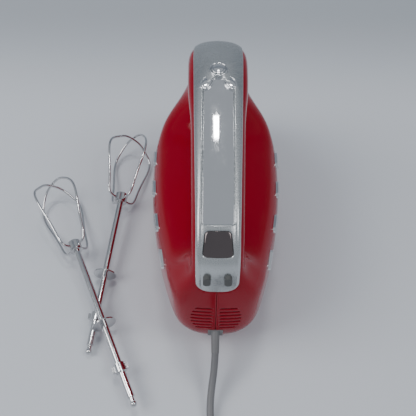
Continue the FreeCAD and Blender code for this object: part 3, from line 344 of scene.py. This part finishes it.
SIDE_LINE = np.array([
    (5, -5), (40, -5), (80, -5), (116, 5), (BODY_FRONT - 1, 30), (BODY_FRONT + 3, 62),
    (BODY_FRONT - 10, 86), (109, 98), (99, 113), (91, 130), (80, NOSE_TOP - 5), (58, NOSE_TOP),
    (26, NOSE_TOP - 5), (-8, 139.5), (-40, 129), (-63, 119), (BODY_REAR, 106),
    (BODY_REAR - 0.5, 80), (BODY_REAR - 1, 46), (BODY_REAR - 1, 10), (-48, -7)], float)
STATIONS = len(GAP_LINE)


def cubic_weights(f):
    """The four weights of a uniform cubic spline at fraction f of a span."""
    return np.stack([(1 - f) ** 3, 3 * f ** 3 - 6 * f ** 2 + 4,
                     -3 * f ** 3 + 3 * f ** 2 + 3 * f + 1, f ** 3]) / 6


def closed_spline(points, u):
    """Closed uniform cubic spline: each place is a weighted sum of four control points."""
    first = np.floor(u).astype(int)
    weights = cubic_weights(u - first)
    index = (first + np.arange(-1, 3)[:, None]) % len(points)
    return (weights[..., None] * points[index]).sum(axis=0)


def ease(value):
    """Smooth step from 0 to 1."""
    value = np.clip(value, 0.0, 1.0)
    return value * value * (3 - 2 * value)


def half_width(y, z, part):
    """Half width in the side view: grip width blended into plan width, closed by a rounded section.

    Both tapers grow with the square of the distance past their start.  The rear
    rounds under along a quarter circle.  The section closes as a superellipse
    whose power is higher low down and at the flatter rear face.
    """
    ahead = BODY_HALF_WIDTH - FRONT_TAPER_LOSS * (
        np.clip(y - FRONT_TAPER_FROM, 0.0, None) / FRONT_TAPER_SPAN) ** 2
    behind = BODY_HALF_WIDTH * (1 - REAR_TAPER_SHARE * (
        np.clip(REAR_TAPER_FROM - y, 0.0, None) / REAR_TAPER_SPAN) ** 2)
    grip = GRIP_HALF_WIDTH + GRIP_WIDENING * y + NECK_WIDENING * ease((y - NECK_FROM) / NECK_SPAN)
    body = np.maximum(np.minimum(ahead, behind), grip)
    width = grip + (body - grip) * ease((SHOULDER_TOP - z) / SHOULDER_SPAN)
    rear = ease((-REAR_FACE_FROM - y) / REAR_FACE_SPAN)
    low = np.clip((REAR_TUCK_TOP - z) / REAR_TUCK_SPAN, 0.0, 0.98)
    width = width * (1 - rear * (1 - np.sqrt(1 - low * low)))
    power = SECTION_POWER + np.where(
        part > 0.5, LOW_POWER * ease((60.0 - z) / 40.0) + REAR_POWER * rear, 0.0)
    closing = np.clip(1 - np.abs(2 * part - 1) ** power, 0.0, None)
    return width * closing ** (1 / np.minimum(power, ROOT_POWER))


def form_poles():
    """Grid of spline poles (x, y, z) in millimetres: stations round the loop by rows across it."""
    u = np.arange(STATIONS * STATION_STEPS) / STATION_STEPS
    gap, side = closed_spline(GAP_LINE, u), closed_spline(SIDE_LINE, u)
    part = (1 - np.cos(np.pi * np.arange(ROWS + 1) / ROWS)) / 2
    places = gap[:, None] + (side - gap)[:, None] * part[None, :, None]
    y, z = places[..., 0], places[..., 1]
    x = np.maximum(half_width(y, z, part[None, :]), 0.3)
    x[:, [0, -1]] = 0.0
    return np.stack([x, y, z], axis=-1)


POLES = form_poles()
print("poles of the form:", POLES.shape[:2])


# %% the form as a function of two parameters
KNOTS = np.concatenate([np.zeros(3), np.arange(ROWS - 1), np.full(3, ROWS - 2)])


def clamped_weights(v):
    """First pole and four weights of the spline across a section, clamped at both ends."""
    span = np.clip(np.floor(v).astype(int), 0, ROWS - 3)
    base = span + 3
    left = [None] + [v - KNOTS[base + 1 - k] for k in (1, 2, 3)]
    right = [None] + [KNOTS[base + k] - v for k in (1, 2, 3)]
    weights = [np.ones_like(v)]
    for degree in (1, 2, 3):
        carried = np.zeros_like(v)
        raised = []
        for r in range(degree):
            share = weights[r] / (right[r + 1] + left[degree - r])
            raised.append(carried + right[r + 1] * share)
            carried = left[degree - r] * share
        weights = raised + [carried]
    return span, np.stack(weights)


def form_point(u, v):
    """Place on the right half of the form: u in stations round the loop, v from 0 to 1 across."""
    u, v = np.broadcast_arrays(np.asarray(u, float) * STATION_STEPS, np.asarray(v, float))
    v = np.clip(v, 0.0, 1.0) * (ROWS - 2)
    first = np.floor(u).astype(int)
    across_u = cubic_weights(u - first)
    span, across_v = clamped_weights(v)
    total = np.zeros(u.shape + (3,))
    for a in range(4):
        row = (first + a - 1) % POLES.shape[0]
        for b in range(4):
            total += (across_u[a] * across_v[b])[..., None] * POLES[row, span + b]
    return total


def form_normal(u, v):
    """Outward direction: cross product of the form's two slopes, from small steps."""
    step = 1e-3
    low, high = np.clip(v - step, 0.0, 1.0), np.clip(v + step, 0.0, 1.0)
    along_u = form_point(u + step, v) - form_point(u - step, v)
    along_v = form_point(u, high) - form_point(u, low)
    normal = np.cross(along_v, along_u)
    return normal / np.linalg.norm(normal, axis=-1, keepdims=True)


probe = form_point(np.array([12.0, 2.0]), np.array([1.0, 0.6]))
print("form reaches", np.round(probe, 1).tolist())
print("outward at the flank", np.round(form_normal(np.array([2.0]), np.array([0.5])), 2).tolist())

# %% [markdown]
# Measured lines on the form.  The line over the top of the handle is sampled
# finely and turned into a table of arc length, so that trim can be laid out
# in millimetres along it, and a width on the surface is found by halving the
# interval of v until the surface is that far from the middle.

# %% top line, widths and the outline of the silver cover
LINE_U = np.linspace(6.0, 20.0, 5601)
LINE = form_point(LINE_U, np.ones_like(LINE_U))
LINE_LENGTH = np.concatenate([[0.0], np.cumsum(np.linalg.norm(np.diff(LINE, axis=0), axis=1))])
COVER_FIRST, COVER_PROUD, COVER_LOW = 8.6, 0.8, 83.6
COVER_REAR_HALF, COVER_FRONT_HALF = 12.6, 16.0
COVER_REAR_LIP, COVER_FRONT_LIP = 8.5, 5.0
COVER_LAST = float(np.interp(-COVER_LOW, -LINE[LINE_U > 15, 2], LINE_U[LINE_U > 15]))


def length_at(u):
    """Arc length of the top line, in millimetres, at station u."""
    return np.interp(u, LINE_U, LINE_LENGTH)


def station_at(length):
    """Station of the top line at an arc length: the inverse of length_at."""
    return np.interp(length, LINE_LENGTH, LINE_U)


COVER_START, COVER_END = float(length_at(COVER_FIRST)), float(length_at(COVER_LAST))


def across_at(u, x):
    """The v on the top half of the form where its surface is |x| from the middle, by halving."""
    low, high = np.full(u.shape, 0.5), np.ones(u.shape)
    for _ in range(24):
        middle = (low + high) / 2
        wide = form_point(u, middle)[..., 0] > np.abs(x)
        low, high = np.where(wide, middle, low), np.where(wide, high, middle)
    return (low + high) / 2


def cover_half(y):
    """Half width of the cover: it tapers evenly from the nose to the rear plate."""
    return np.interp(y, [-60.0, 60.0], [COVER_REAR_HALF, COVER_FRONT_HALF])


def rounded_depth(along, x, half, lip):
    """Distance inside a strip end with rounded corners: along from its end, x from its middle."""
    side, end = np.abs(x) - (half - lip), lip - along
    outside = np.hypot(np.clip(side, 0, None), np.clip(end, 0, None))
    return lip - outside - np.minimum(np.maximum(side, end), 0.0)


def cover_depth(length, x, y):
    """Distance inside the cover's outline, in millimetres, from the nearer of its two ends."""
    half = cover_half(y)
    front = rounded_depth(length - COVER_START, x, half, COVER_FRONT_LIP)
    rear = rounded_depth(COVER_END - length, x, half, COVER_REAR_LIP)
    return np.minimum(front, rear)


print("cover runs", round(COVER_END - COVER_START, 1), "mm along the handle")

# %% [markdown]
# Each shell is half of the form as one closed skin: the outside, then back
# along the inside of the wall.  Fine rows sit where the cooling slots are.
# Slots, the seam's rounded lips and the seat under the cover are all pushed in along the outward
# direction, so edges come out slightly soft, as moulded plastic has them.  The slot floors are also
# painted near black, a painted shade that a stored mask carries to the red finish.

# %% shells
FLOOR_CUT, SEAM = 2.45, 0.06
VENT_ROWS, VENT_PITCH, VENT_SLOT, VENT_MIDDLE = 7, 4.4, 1.7, 48.5
VENT_REACH, VENT_INNER, VENT_DEPTH, VENT_SOFT = 16.2, 2.5, 2.0, 0.35
SEAT_INSET, SEAT_SOFT, SEAT_DEPTH = 1.3, 0.8, 1.7
LIP_DEPTH, LIP_WIDTH, INNER_ROWS = 0.45, 0.7, 36
U_BLOCKS = ((0, 17, 204), (17, 17.4, 12), (17.4, 18.6, 160), (18.6, 21, 44))
V_FIRST = (0, 0.002, 0.005, 0.01)
V_LAST = (0.9955, 0.997, 0.998, 0.9988, 0.9994, 1.0)


def soft_step(distance, blend):
    """0 outside an edge and 1 inside it, over a blend width."""
    return ease(distance / blend + 0.5)


def vent_depth(x, y, z):
    """How far the slots are cut at each place of the rear face."""
    depth = np.zeros_like(x)
    for k in range(-(VENT_ROWS // 2), VENT_ROWS // 2 + 1):
        reach = VENT_REACH * math.sqrt(1 - (k / 5) ** 2)
        middle, half = (reach + VENT_INNER) / 2, (reach - VENT_INNER - VENT_SLOT) / 2
        beyond = np.clip(np.abs(x - middle) - half, 0, None)
        inside = VENT_SLOT / 2 - np.hypot(beyond, z - VENT_MIDDLE - VENT_PITCH * k)
        depth = np.maximum(depth, soft_step(inside, VENT_SOFT))
    return VENT_DEPTH * depth * (y < -50)


def make_shell(name, side):
    """Closed skin of one half: form less the cuts' depth outside, form less the wall inside."""
    u = np.unique(np.concatenate([np.linspace(*block, endpoint=False) for block in U_BLOCKS]))
    v = np.concatenate([V_FIRST, np.linspace(0.02, 0.9, 60), np.linspace(0.905, 0.994, 52), V_LAST])
    u_grid, v_grid = np.meshgrid(u, v, indexing="ij")
    outer = form_point(u_grid, v_grid)
    normal = form_normal(u_grid, v_grid)
    x, y, z = np.moveaxis(outer, -1, 0)
    length = length_at(u_grid)
    on_handle = (v_grid > 0.5) * (z > 70) * (u_grid > 7)
    seat = soft_step(cover_depth(length, x, y) - SEAT_INSET, SEAT_SOFT) * on_handle
    lip = LIP_DEPTH * np.clip(1 - x / LIP_WIDTH, 0, 1) ** 2
    vents = vent_depth(x, y, z)
    push = vents + SEAT_DEPTH * seat + lip * (1 - seat)
    outer = outer - normal * push[..., None]
    v_in = np.linspace(1, 0, INNER_ROWS)
    u_grid, v_grid = np.meshgrid(u, v_in, indexing="ij")
    inner = form_point(u_grid, v_grid) - form_normal(u_grid, v_grid) * WALL
    inner[..., 2] = np.maximum(inner[..., 2], FLOOR_CUT + 0.4)
    points = np.concatenate([outer, inner], axis=1)
    points[..., 0] = np.maximum(points[..., 0], SEAM) * side
    points[..., 2] = np.maximum(points[..., 2], FLOOR_CUT)
    piece = grid_piece(name, points * MM, RED, wrap_rows=True, wrap_columns=True, flip=side < 0)
    # Painted shade: each point stores how deep its slot is cut, and the red finish darkens the slot
    # floors by it.
    slot_shade_mask = np.zeros(points.shape[:2])
    slot_shade_mask[:, :len(v)] = vents / VENT_DEPTH
    piece.data.attributes.new("painted_slot_shade", "FLOAT", "POINT").data.foreach_set("value", slot_shade_mask.ravel())
    return merged(name, [piece], "housing", (name.replace("_skin", ""),))


for shell_name, shell_side in (("right_shell_skin", 1), ("left_shell_skin", -1)):
    make_shell(shell_name, shell_side)

# %% [markdown]
# The silver cover is a thin sheet over the handle.  Its height above the form
# is a sum of simple parts: a rolled outer edge, a crowned border either side,
# and the sunk channel, which starts as a narrow saddle under the round button
# and widens to its full width.  The dark window has a shallow bed of its own
# beyond the channel's step.

# %% silver cover
CHANNEL_HALF, CHANNEL_SADDLE, SADDLE_FRONT, SADDLE_REAR = 9.3, 4.0, 36.0, 28.5
CHANNEL_REAR, CHANNEL_FLOOR = -56.0, -0.75
WINDOW_FRONT, WINDOW_LENGTH, WINDOW_FRONT_HALF, WINDOW_REAR_HALF = -59.0, 14.6, 7.2, 8.6
WINDOW_BED, WINDOW_LIP = 0.05, 2.4
CHANNEL_FRONT_LIP, CHANNEL_REAR_LIP = 2.5, 1.6
EDGE_ROLL, BORDER_CROWN = 1.2, 0.35
COVER_UNDER, COVER_RIM_UNDER, COVER_RIM_WIDTH = -1.2, -0.35, 0.5
MIRROR_LIFT, MIRROR_DISH = 0.12, 0.3
PANE_EDGE, PANE_ROLL, PANE_CROWN = 0.35, 0.45, 0.15
INSET_THICKNESS = 0.5


def length_at_y(y):
    """Arc length of the top line where it passes a given y on its way to the rear."""
    part = (LINE_U > 10.5) & (LINE_U < 16.2)
    return float(np.interp(-y, -LINE[part, 1], LINE_LENGTH[part]))


CHANNEL_SPAN = (length_at_y(SADDLE_FRONT), length_at_y(CHANNEL_REAR))
WINDOW_SPAN = (length_at_y(WINDOW_FRONT), length_at_y(WINDOW_FRONT) + WINDOW_LENGTH)


def channel_half(y):
    """Half width of the channel: a saddle beside the buttons that opens to the full width."""
    return CHANNEL_SADDLE + (CHANNEL_HALF - CHANNEL_SADDLE) * ease(
        (SADDLE_FRONT - 1.5 - y) / (SADDLE_FRONT - 1.5 - SADDLE_REAR))


def channel_depth(length, x, y):
    """Distance inside the channel's outline."""
    half = channel_half(y)
    front = rounded_depth(length - CHANNEL_SPAN[0], x, half, CHANNEL_FRONT_LIP)
    rear = rounded_depth(CHANNEL_SPAN[1] - length, x, half, CHANNEL_REAR_LIP)
    return np.minimum(front, rear)


def window_half(length):
    """Half width of the window, which widens evenly towards the rear."""
    return np.interp(length, WINDOW_SPAN, (WINDOW_FRONT_HALF, WINDOW_REAR_HALF))


def window_depth(length, x):
    """Distance inside the window's outline, a trapezoid with rounded corners."""
    half = window_half(length)
    return np.minimum(rounded_depth(length - WINDOW_SPAN[0], x, half, WINDOW_LIP),
                      rounded_depth(WINDOW_SPAN[1] - length, x, half, WINDOW_LIP))


def cover_height(length, x, y):
    """Height of the cover's outer face above the form, in millimetres."""
    depth = cover_depth(length, x, y)
    edge = 1 - np.clip(depth, 0, EDGE_ROLL) / EDGE_ROLL
    height = COVER_PROUD * np.sqrt(np.clip(1 - edge ** 2, 0, 1))
    border = np.clip((np.abs(x) - channel_half(y)) / (cover_half(y) - channel_half(y)), 0, 1)
    behind = ease((SADDLE_FRONT - y) / 6)
    height = height + BORDER_CROWN * behind * np.sin(np.pi * border) * np.clip(depth / 2, 0, 1)
    sunk = soft_step(channel_depth(length, x, y), 0.7)
    height = height * (1 - sunk) + CHANNEL_FLOOR * sunk
    bed = soft_step(window_depth(length, x) + 0.2, 0.5)
    return height * (1 - bed) + WINDOW_BED * bed


def sheet_on_form(length, x, height):
    """Places a height above the form, given arc length along the top line and distance across."""
    u = station_at(length)
    v = across_at(u, x)
    point = form_point(u, v) + form_normal(u, v) * height[..., None]
    point[..., 0] = np.where(x < 0, -point[..., 0], point[..., 0])
    return point


def strip_rows(first, last, fine, coarse):
    """Arc lengths from first to last, closely spaced near both ends."""
    ends = np.array([0, 0.1, 0.25, 0.45, 0.7, 1.0, 1.4, 1.9, 2.5, 3.2, 4.0, 5.0, 6.0, 7.0, 8.0]) * fine
    middle = np.linspace(first + ends[-1], last - ends[-1], coarse)
    return np.concatenate([first + ends[:-1], middle, (last - ends[:-1])[::-1]])


def strip_half(length, first, last, half, first_lip, last_lip):
    """Half width of a strip with rounded ends at each arc length."""
    front = np.clip(first_lip - (length - first), 0, first_lip)
    rear = np.clip(last_lip - (last - length), 0, last_lip)
    return half - (first_lip - np.sqrt(first_lip ** 2 - front ** 2)) - (
        last_lip - np.sqrt(last_lip ** 2 - rear ** 2))


def make_cover():
    """Closed sheet over the handle: the cover's height on top, a sunk face underneath."""
    length = strip_rows(COVER_START, COVER_END, 1.0, 380)
    y = np.interp(length, LINE_LENGTH, LINE[:, 1])
    half = strip_half(length, COVER_START, COVER_END, cover_half(y), COVER_FRONT_LIP, COVER_REAR_LIP)
    t = np.linspace(-1, 1, 151)
    spread = np.sin(t * np.pi / 2) * 0.35 + t * 0.65
    x = half[:, None] * spread
    rows = np.broadcast_to(length[:, None], x.shape)
    top = sheet_on_form(rows, x, cover_height(rows, x, np.broadcast_to(y[:, None], x.shape)))
    x_low = half[:, None] * np.linspace(1, -1, 13)
    rows_low = np.broadcast_to(length[:, None], x_low.shape)
    under = np.where(np.abs(x_low) < half[:, None] - COVER_RIM_WIDTH, COVER_UNDER, COVER_RIM_UNDER)
    low = sheet_on_form(rows_low, x_low, under)
    points = np.concatenate([top, low], axis=1)
    piece = grid_piece("cover", points * MM, SILVER, wrap_columns=True, poles=(0, -1), flip=True)
    return merged("handle_cover_skin", [piece], "housing", ("handle_cover",))


make_cover()


# %% mirror strip in the channel and the dark window
def make_inset(name, span, half_of, lips, height_of, margin, material, node):
    """Thin closed strip that lies in a bed of the cover."""
    length = strip_rows(span[0] + margin, span[1] - margin, 0.35, 150)
    y = np.interp(length, LINE_LENGTH, LINE[:, 1])
    half = strip_half(length, span[0] + margin, span[1] - margin, half_of(length, y) - margin, *lips)
    x = half[:, None] * np.linspace(-1, 1, 81)
    rows = np.broadcast_to(length[:, None], x.shape)
    inside = half[:, None] - np.abs(x)
    top = sheet_on_form(rows, x, height_of(x, half[:, None], inside))
    x_low = half[:, None] * np.linspace(1, -1, 9)
    rows_low = np.broadcast_to(length[:, None], x_low.shape)
    under = height_of(0.0, 1.0, 1.0) - INSET_THICKNESS
    low = sheet_on_form(rows_low, x_low, np.full(x_low.shape, under))
    points = np.concatenate([top, low], axis=1)
    piece = grid_piece(name, points * MM, material, wrap_columns=True, poles=(0, -1), flip=True)
    return merged(name, [piece], "housing", (node,))


def mirror_height(x, half, inside):
    """Height of the channel's mirror: dished, rising with the square of the distance across."""
    return CHANNEL_FLOOR + MIRROR_LIFT + MIRROR_DISH * (x / CHANNEL_HALF) ** 2


def pane_height(x, half, inside):
    """Height of the window: a quarter-round edge, then a low crown across its width."""
    rolled = np.sqrt(np.clip(1 - (1 - np.clip(inside, 0, 1)) ** 2, 0, 1))
    return PANE_EDGE + PANE_ROLL * rolled + PANE_CROWN * (1 - (x / half) ** 2)


make_inset("channel_mirror", CHANNEL_SPAN, lambda length, y: channel_half(y), (2.2, 1.4),
           mirror_height, 0.3, CHROME, "channel_inlay")
make_inset("window_mirror", WINDOW_SPAN, lambda length, y: window_half(length), (2.2, 2.2),
           pane_height, 0.15, WINDOW, "display_window")

# %% [markdown]
# Buttons and rims are turned shapes: a profile of radius and height goes
# round an axis.  The two side buttons use the same profile stretched into an
# ellipse and turned in the surface, so that they rise towards the middle.

# %% turned shapes
TURN_STEPS = 96


def turned(name, profile, centre, axis, material, stretch=(1.0, 1.0), turn=0.0, closed=False):
    """Profile points (radius, height) carried round an axis; closed joins the profile's ends."""
    profile = np.asarray(profile, float)
    axis = np.asarray(axis, float) / np.linalg.norm(axis)
    across = np.array([1.0, 0, 0]) if abs(axis[0]) < 0.9 else np.array([0, 1.0, 0])
    side = np.cross(axis, across)
    side /= np.linalg.norm(side)
    across = np.cross(side, axis)
    angle = np.linspace(0, 2 * np.pi, TURN_STEPS, endpoint=False)
    a, b = stretch[0] * np.cos(angle), stretch[1] * np.sin(angle)
    a, b = a * math.cos(turn) - b * math.sin(turn), a * math.sin(turn) + b * math.cos(turn)
    ring = a[:, None] * across + b[:, None] * side
    points = (np.asarray(centre, float) + profile[:, None, :1] * ring
              + profile[:, None, 1:] * axis)
    rows = () if closed else (0, -1)
    return grid_piece(name, points * MM, material, wrap_rows=closed, wrap_columns=True, poles=rows)


def top_place(y):
    """Place and outward direction of the top line at a given y."""
    u = station_at(np.array([length_at_y(y)]))
    return form_point(u, np.ones(1))[0], form_normal(u, np.full(1, 1.0))[0] * np.array([0, 1, 1])


def arc(centre, radius, start, end, count):
    """Points of a circular arc between two angles in degrees."""
    a = np.radians(np.linspace(start, end, count))
    return np.stack([centre[0] + radius * np.cos(a), centre[1] + radius * np.sin(a)], axis=-1)


ROUND_RADIUS, RIM_WIDTH, RIM_PROUD, CAP_PROUD = 4.6, 0.9, 1.5, 2.3
OVAL_LONG, OVAL_SHORT, OVAL_TURN, OVAL_X, OVAL_DROP = 4.6, 2.9, math.radians(60), 7.2, 0.9
ROUND_Y, OVAL_Y = 41.5, 32.3
OVAL_RIM_MIDDLE, OVAL_RIM_HALF, OVAL_RIM_BASE, OVAL_RIM_RISE = 1.155, 0.145, 0.55, 0.5
round_place, round_axis = top_place(ROUND_Y)
oval_top, oval_axis = top_place(OVAL_Y)
print("round button axis", np.round(round_axis, 3), "oval axis", np.round(oval_axis, 3))

cap_profile = np.concatenate([
    [(1e-3, -1.0), (ROUND_RADIUS - 0.25, -1.0)],
    arc((ROUND_RADIUS - 0.65, CAP_PROUD - 0.75), 0.4, 0, 75, 8),
    [(3.3, CAP_PROUD - 0.30), (3.05, CAP_PROUD - 0.42), (2.8, CAP_PROUD - 0.28),
     (2.5, CAP_PROUD - 0.16), (1.8, CAP_PROUD - 0.05), (1.0, CAP_PROUD), (1e-3, CAP_PROUD + 0.02)]])
round_cap = turned("round_cap", cap_profile, round_place, round_axis, CHROME)
merged("round_button_cap", [round_cap], "round_button_body", ("round_button",))

rim_profile = np.concatenate([
    [(ROUND_RADIUS + 0.05, -0.5), (ROUND_RADIUS + RIM_WIDTH + 0.35, -0.5)],
    arc((ROUND_RADIUS + RIM_WIDTH / 2 + 0.15, RIM_PROUD - 0.5), RIM_WIDTH / 2 + 0.1, 0, 180, 14)])
rims = [turned("rim_round", rim_profile, round_place, round_axis, CHROME, closed=True)]
round_over = np.radians(np.linspace(0, 180, 13))
oval_rim = np.concatenate([[(1.01, -1.2), (1.30, -1.2)],
                           np.stack([OVAL_RIM_MIDDLE + OVAL_RIM_HALF * np.cos(round_over),
                                     OVAL_RIM_BASE + OVAL_RIM_RISE * np.sin(round_over)], -1)])
oval_cap = np.array([(1e-3, -1.5), (0.97, -1.5), (0.97, 0.55), (0.94, 0.8), (0.88, 0.95),
                     (0.75, 1.08), (0.5, 1.2), (0.25, 1.26), (1e-3, 1.28)])
for side, word in ((1, "right"), (-1, "left")):
    place = oval_top + np.array([side * OVAL_X, 0, -OVAL_DROP])
    rims.append(turned("rim_oval", oval_rim, place, oval_axis, CHROME, (OVAL_LONG, OVAL_SHORT),
                       -side * OVAL_TURN, closed=True))
    cap = turned("oval_cap", oval_cap, place, oval_axis, CHROME, (OVAL_LONG, OVAL_SHORT),
                 -side * OVAL_TURN)
    merged(f"{word}_oval_cap", [cap], f"{word}_button_body",
           (f"{word}_oval_button",))
merged("button_rings", rims, "housing", ("button_rims",))

# %% [markdown]
# The lead is one smooth curve.  It leaves the relief a little downwards, comes down to the table, runs
# out of the view and is wound up just beyond the near edge: six turns and a quarter, three side by
# side and two high, each a lead's width from the next, and then a short tail to the plug.

# %% lead
LEAD_RADIUS, LEAD_LENGTH, COIL_LOW = 2.4, 1.19, 2.65
RELIEF_TILT, RELIEF_LENGTH, RELIEF_FOOT = math.radians(28), 13.0, (0.0, -77.0, 28.0)
EXIT = (0.0, RELIEF_FOOT[1] - RELIEF_LENGTH * math.cos(RELIEF_TILT),
        RELIEF_FOOT[2] - RELIEF_LENGTH * math.sin(RELIEF_TILT))
ROUTE = [(-0.5, -97.5, 16.6), (-2.2, -107.5, 11.0), (-3.2, -118.0, 6.2), (-2.6, -130.0, 3.4),
         (-2.2, -143.5, 2.6), (-3.0, -157.0, 2.6)]
PLUG_ROUTE = [(45.0, -205.0, 2.6), (52.0, -205.1, 3.6), (59.0, -205.0, 6.0), (66.0, -205.0, 7.0)]
COIL_CENTRE, COIL_RADIUS, TURNS, TURN_POINTS = (24.0, -178.0), 27.0, 6.25, 18


def coil_points():
    """Turns of the coil: radius and height step by one lead width each turn, blended smoothly."""
    count = int(TURNS * TURN_POINTS)
    turn = (np.arange(count) + 2.0) / TURN_POINTS
    rings = np.array([2.0, 1.0, 0.0, 0.0, 1.0, 2.0, 2.0])
    levels = np.array([0.0, 0.0, 0.0, 1.0, 1.0, 1.0, 0.0])
    place = np.clip(turn - 0.5, 0, 6)
    whole = np.floor(place).astype(int)
    share = ease((place - whole - 0.6) / 0.4)
    after = np.minimum(whole + 1, 6)
    ring = rings[whole] + (rings[after] - rings[whole]) * share
    level = levels[whole] + (levels[after] - levels[whole]) * share
    radius = COIL_RADIUS + (ring - 1.0) * 2 * LEAD_RADIUS
    angle = np.pi + 2 * np.pi * turn
    return np.stack([COIL_CENTRE[0] + radius * np.cos(angle), COIL_CENTRE[1] + radius * np.sin(angle),
                     COIL_LOW + level * 2 * LEAD_RADIUS], axis=-1)


def make_lead():
    """Spline through the exit, the route to the table, the coil's turns and the plug's route."""
    route = np.concatenate([[EXIT], ROUTE, coil_points(), PLUG_ROUTE]) * MM
    curve = bpy.data.curves.new("lead", "CURVE")
    curve.dimensions = "3D"
    curve.bevel_depth = LEAD_RADIUS * MM
    curve.bevel_resolution = 6
    curve.resolution_u = 8
    curve.render_resolution_u = 8
    curve.use_fill_caps = True
    spline = curve.splines.new("NURBS")
    spline.points.add(len(route) - 1)
    spline.points.foreach_set("co", np.column_stack([route, np.ones(len(route))]).ravel())
    spline.order_u = 3
    spline.use_endpoint_u = True
    curve.materials.append(LEAD)
    lead = bpy.data.objects.new("lead", curve)
    bpy.context.scene.collection.objects.link(lead)
    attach(lead, "housing")
    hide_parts("cord_tube", "cord_coil", "cord_end")
    steps = np.linalg.norm(np.diff(route, axis=0), axis=1)
    print("lead control line", round(float(steps.sum()), 3), "m")
    return lead


lead = make_lead()

# %% [markdown]
# The stage is a pale seamless sweep: flat under the mixer, then curving up behind it.  Its floor is
# painted darker beyond the mixer's tip, a painted shade.  Most of the light is even and comes from the
# world.  A small lamp overhead gives the channel its streak, a large one on the left models the form,
# and a weaker one fills in from the right.

# %% stage and light
def make_stage():
    """Sweep: a flat floor joined to a wall by a quarter circle, as a profile carried across."""
    bend = arc((0.9, 0.6), 0.6, -90, 0, 16)
    profile = np.concatenate([[(-1.6, 0.0)], bend, [(1.5, 2.2)]])
    x = np.array([-2.5, 2.5])
    points = np.stack([np.broadcast_to(x, (len(profile), 2)),
                       np.broadcast_to(profile[:, :1], (len(profile), 2)),
                       np.broadcast_to(profile[:, 1:], (len(profile), 2))], axis=-1)
    sweep = grid_piece("sweep", points, PAPER, flip=True)


# Painted shade: the paper runs darker along Y from 0.16 m to 0.36 m, beyond the mixer's tip.
PAPER = finish("pale_paper", (0.66, 0.69, 0.735), (0.70, 0.73, 0.775), (0.55, 0.65),
               coarse=3.0, fine=400.0, relief=0.02, shade=(None, (0.44, 0.47, 0.51), 0.16, 0.36))
make_stage()


def lamp(name, place, target, size, power):
    """Rectangular area lamp at a place, aimed at a target."""
    data = bpy.data.lights.new(name, "AREA")
    data.shape = "RECTANGLE"
    data.size, data.size_y = size
    data.energy = power
    lamp_object = bpy.data.objects.new(name, data)
    aim = (Vector(target) - Vector(place)).to_track_quat("-Z", "Y")
    lamp_object.matrix_world = Matrix.LocRotScale(Vector(place), aim, None)
    bpy.context.scene.collection.objects.link(lamp_object)


MIXER_MIDDLE = (0.0, 0.0, 0.08)
WORLD_COLOUR, WORLD_STRENGTH = (0.86, 0.92, 1.0, 1.0), 0.45
lamp("overhead", (0.0, 0.5, 2.0), MIXER_MIDDLE, (0.30, 0.20), 5.0)
lamp("left", (-1.1, -0.3, 1.3), MIXER_MIDDLE, (0.9, 0.9), 12.0)
lamp("right", (0.9, -0.4, 1.4), MIXER_MIDDLE, (0.6, 0.6), 5.0)
world = bpy.data.worlds.new("studio")
world.use_nodes = True
background = world.node_tree.nodes["Background"]
background.inputs["Color"].default_value = WORLD_COLOUR
background.inputs["Strength"].default_value = WORLD_STRENGTH
bpy.context.scene.world = world
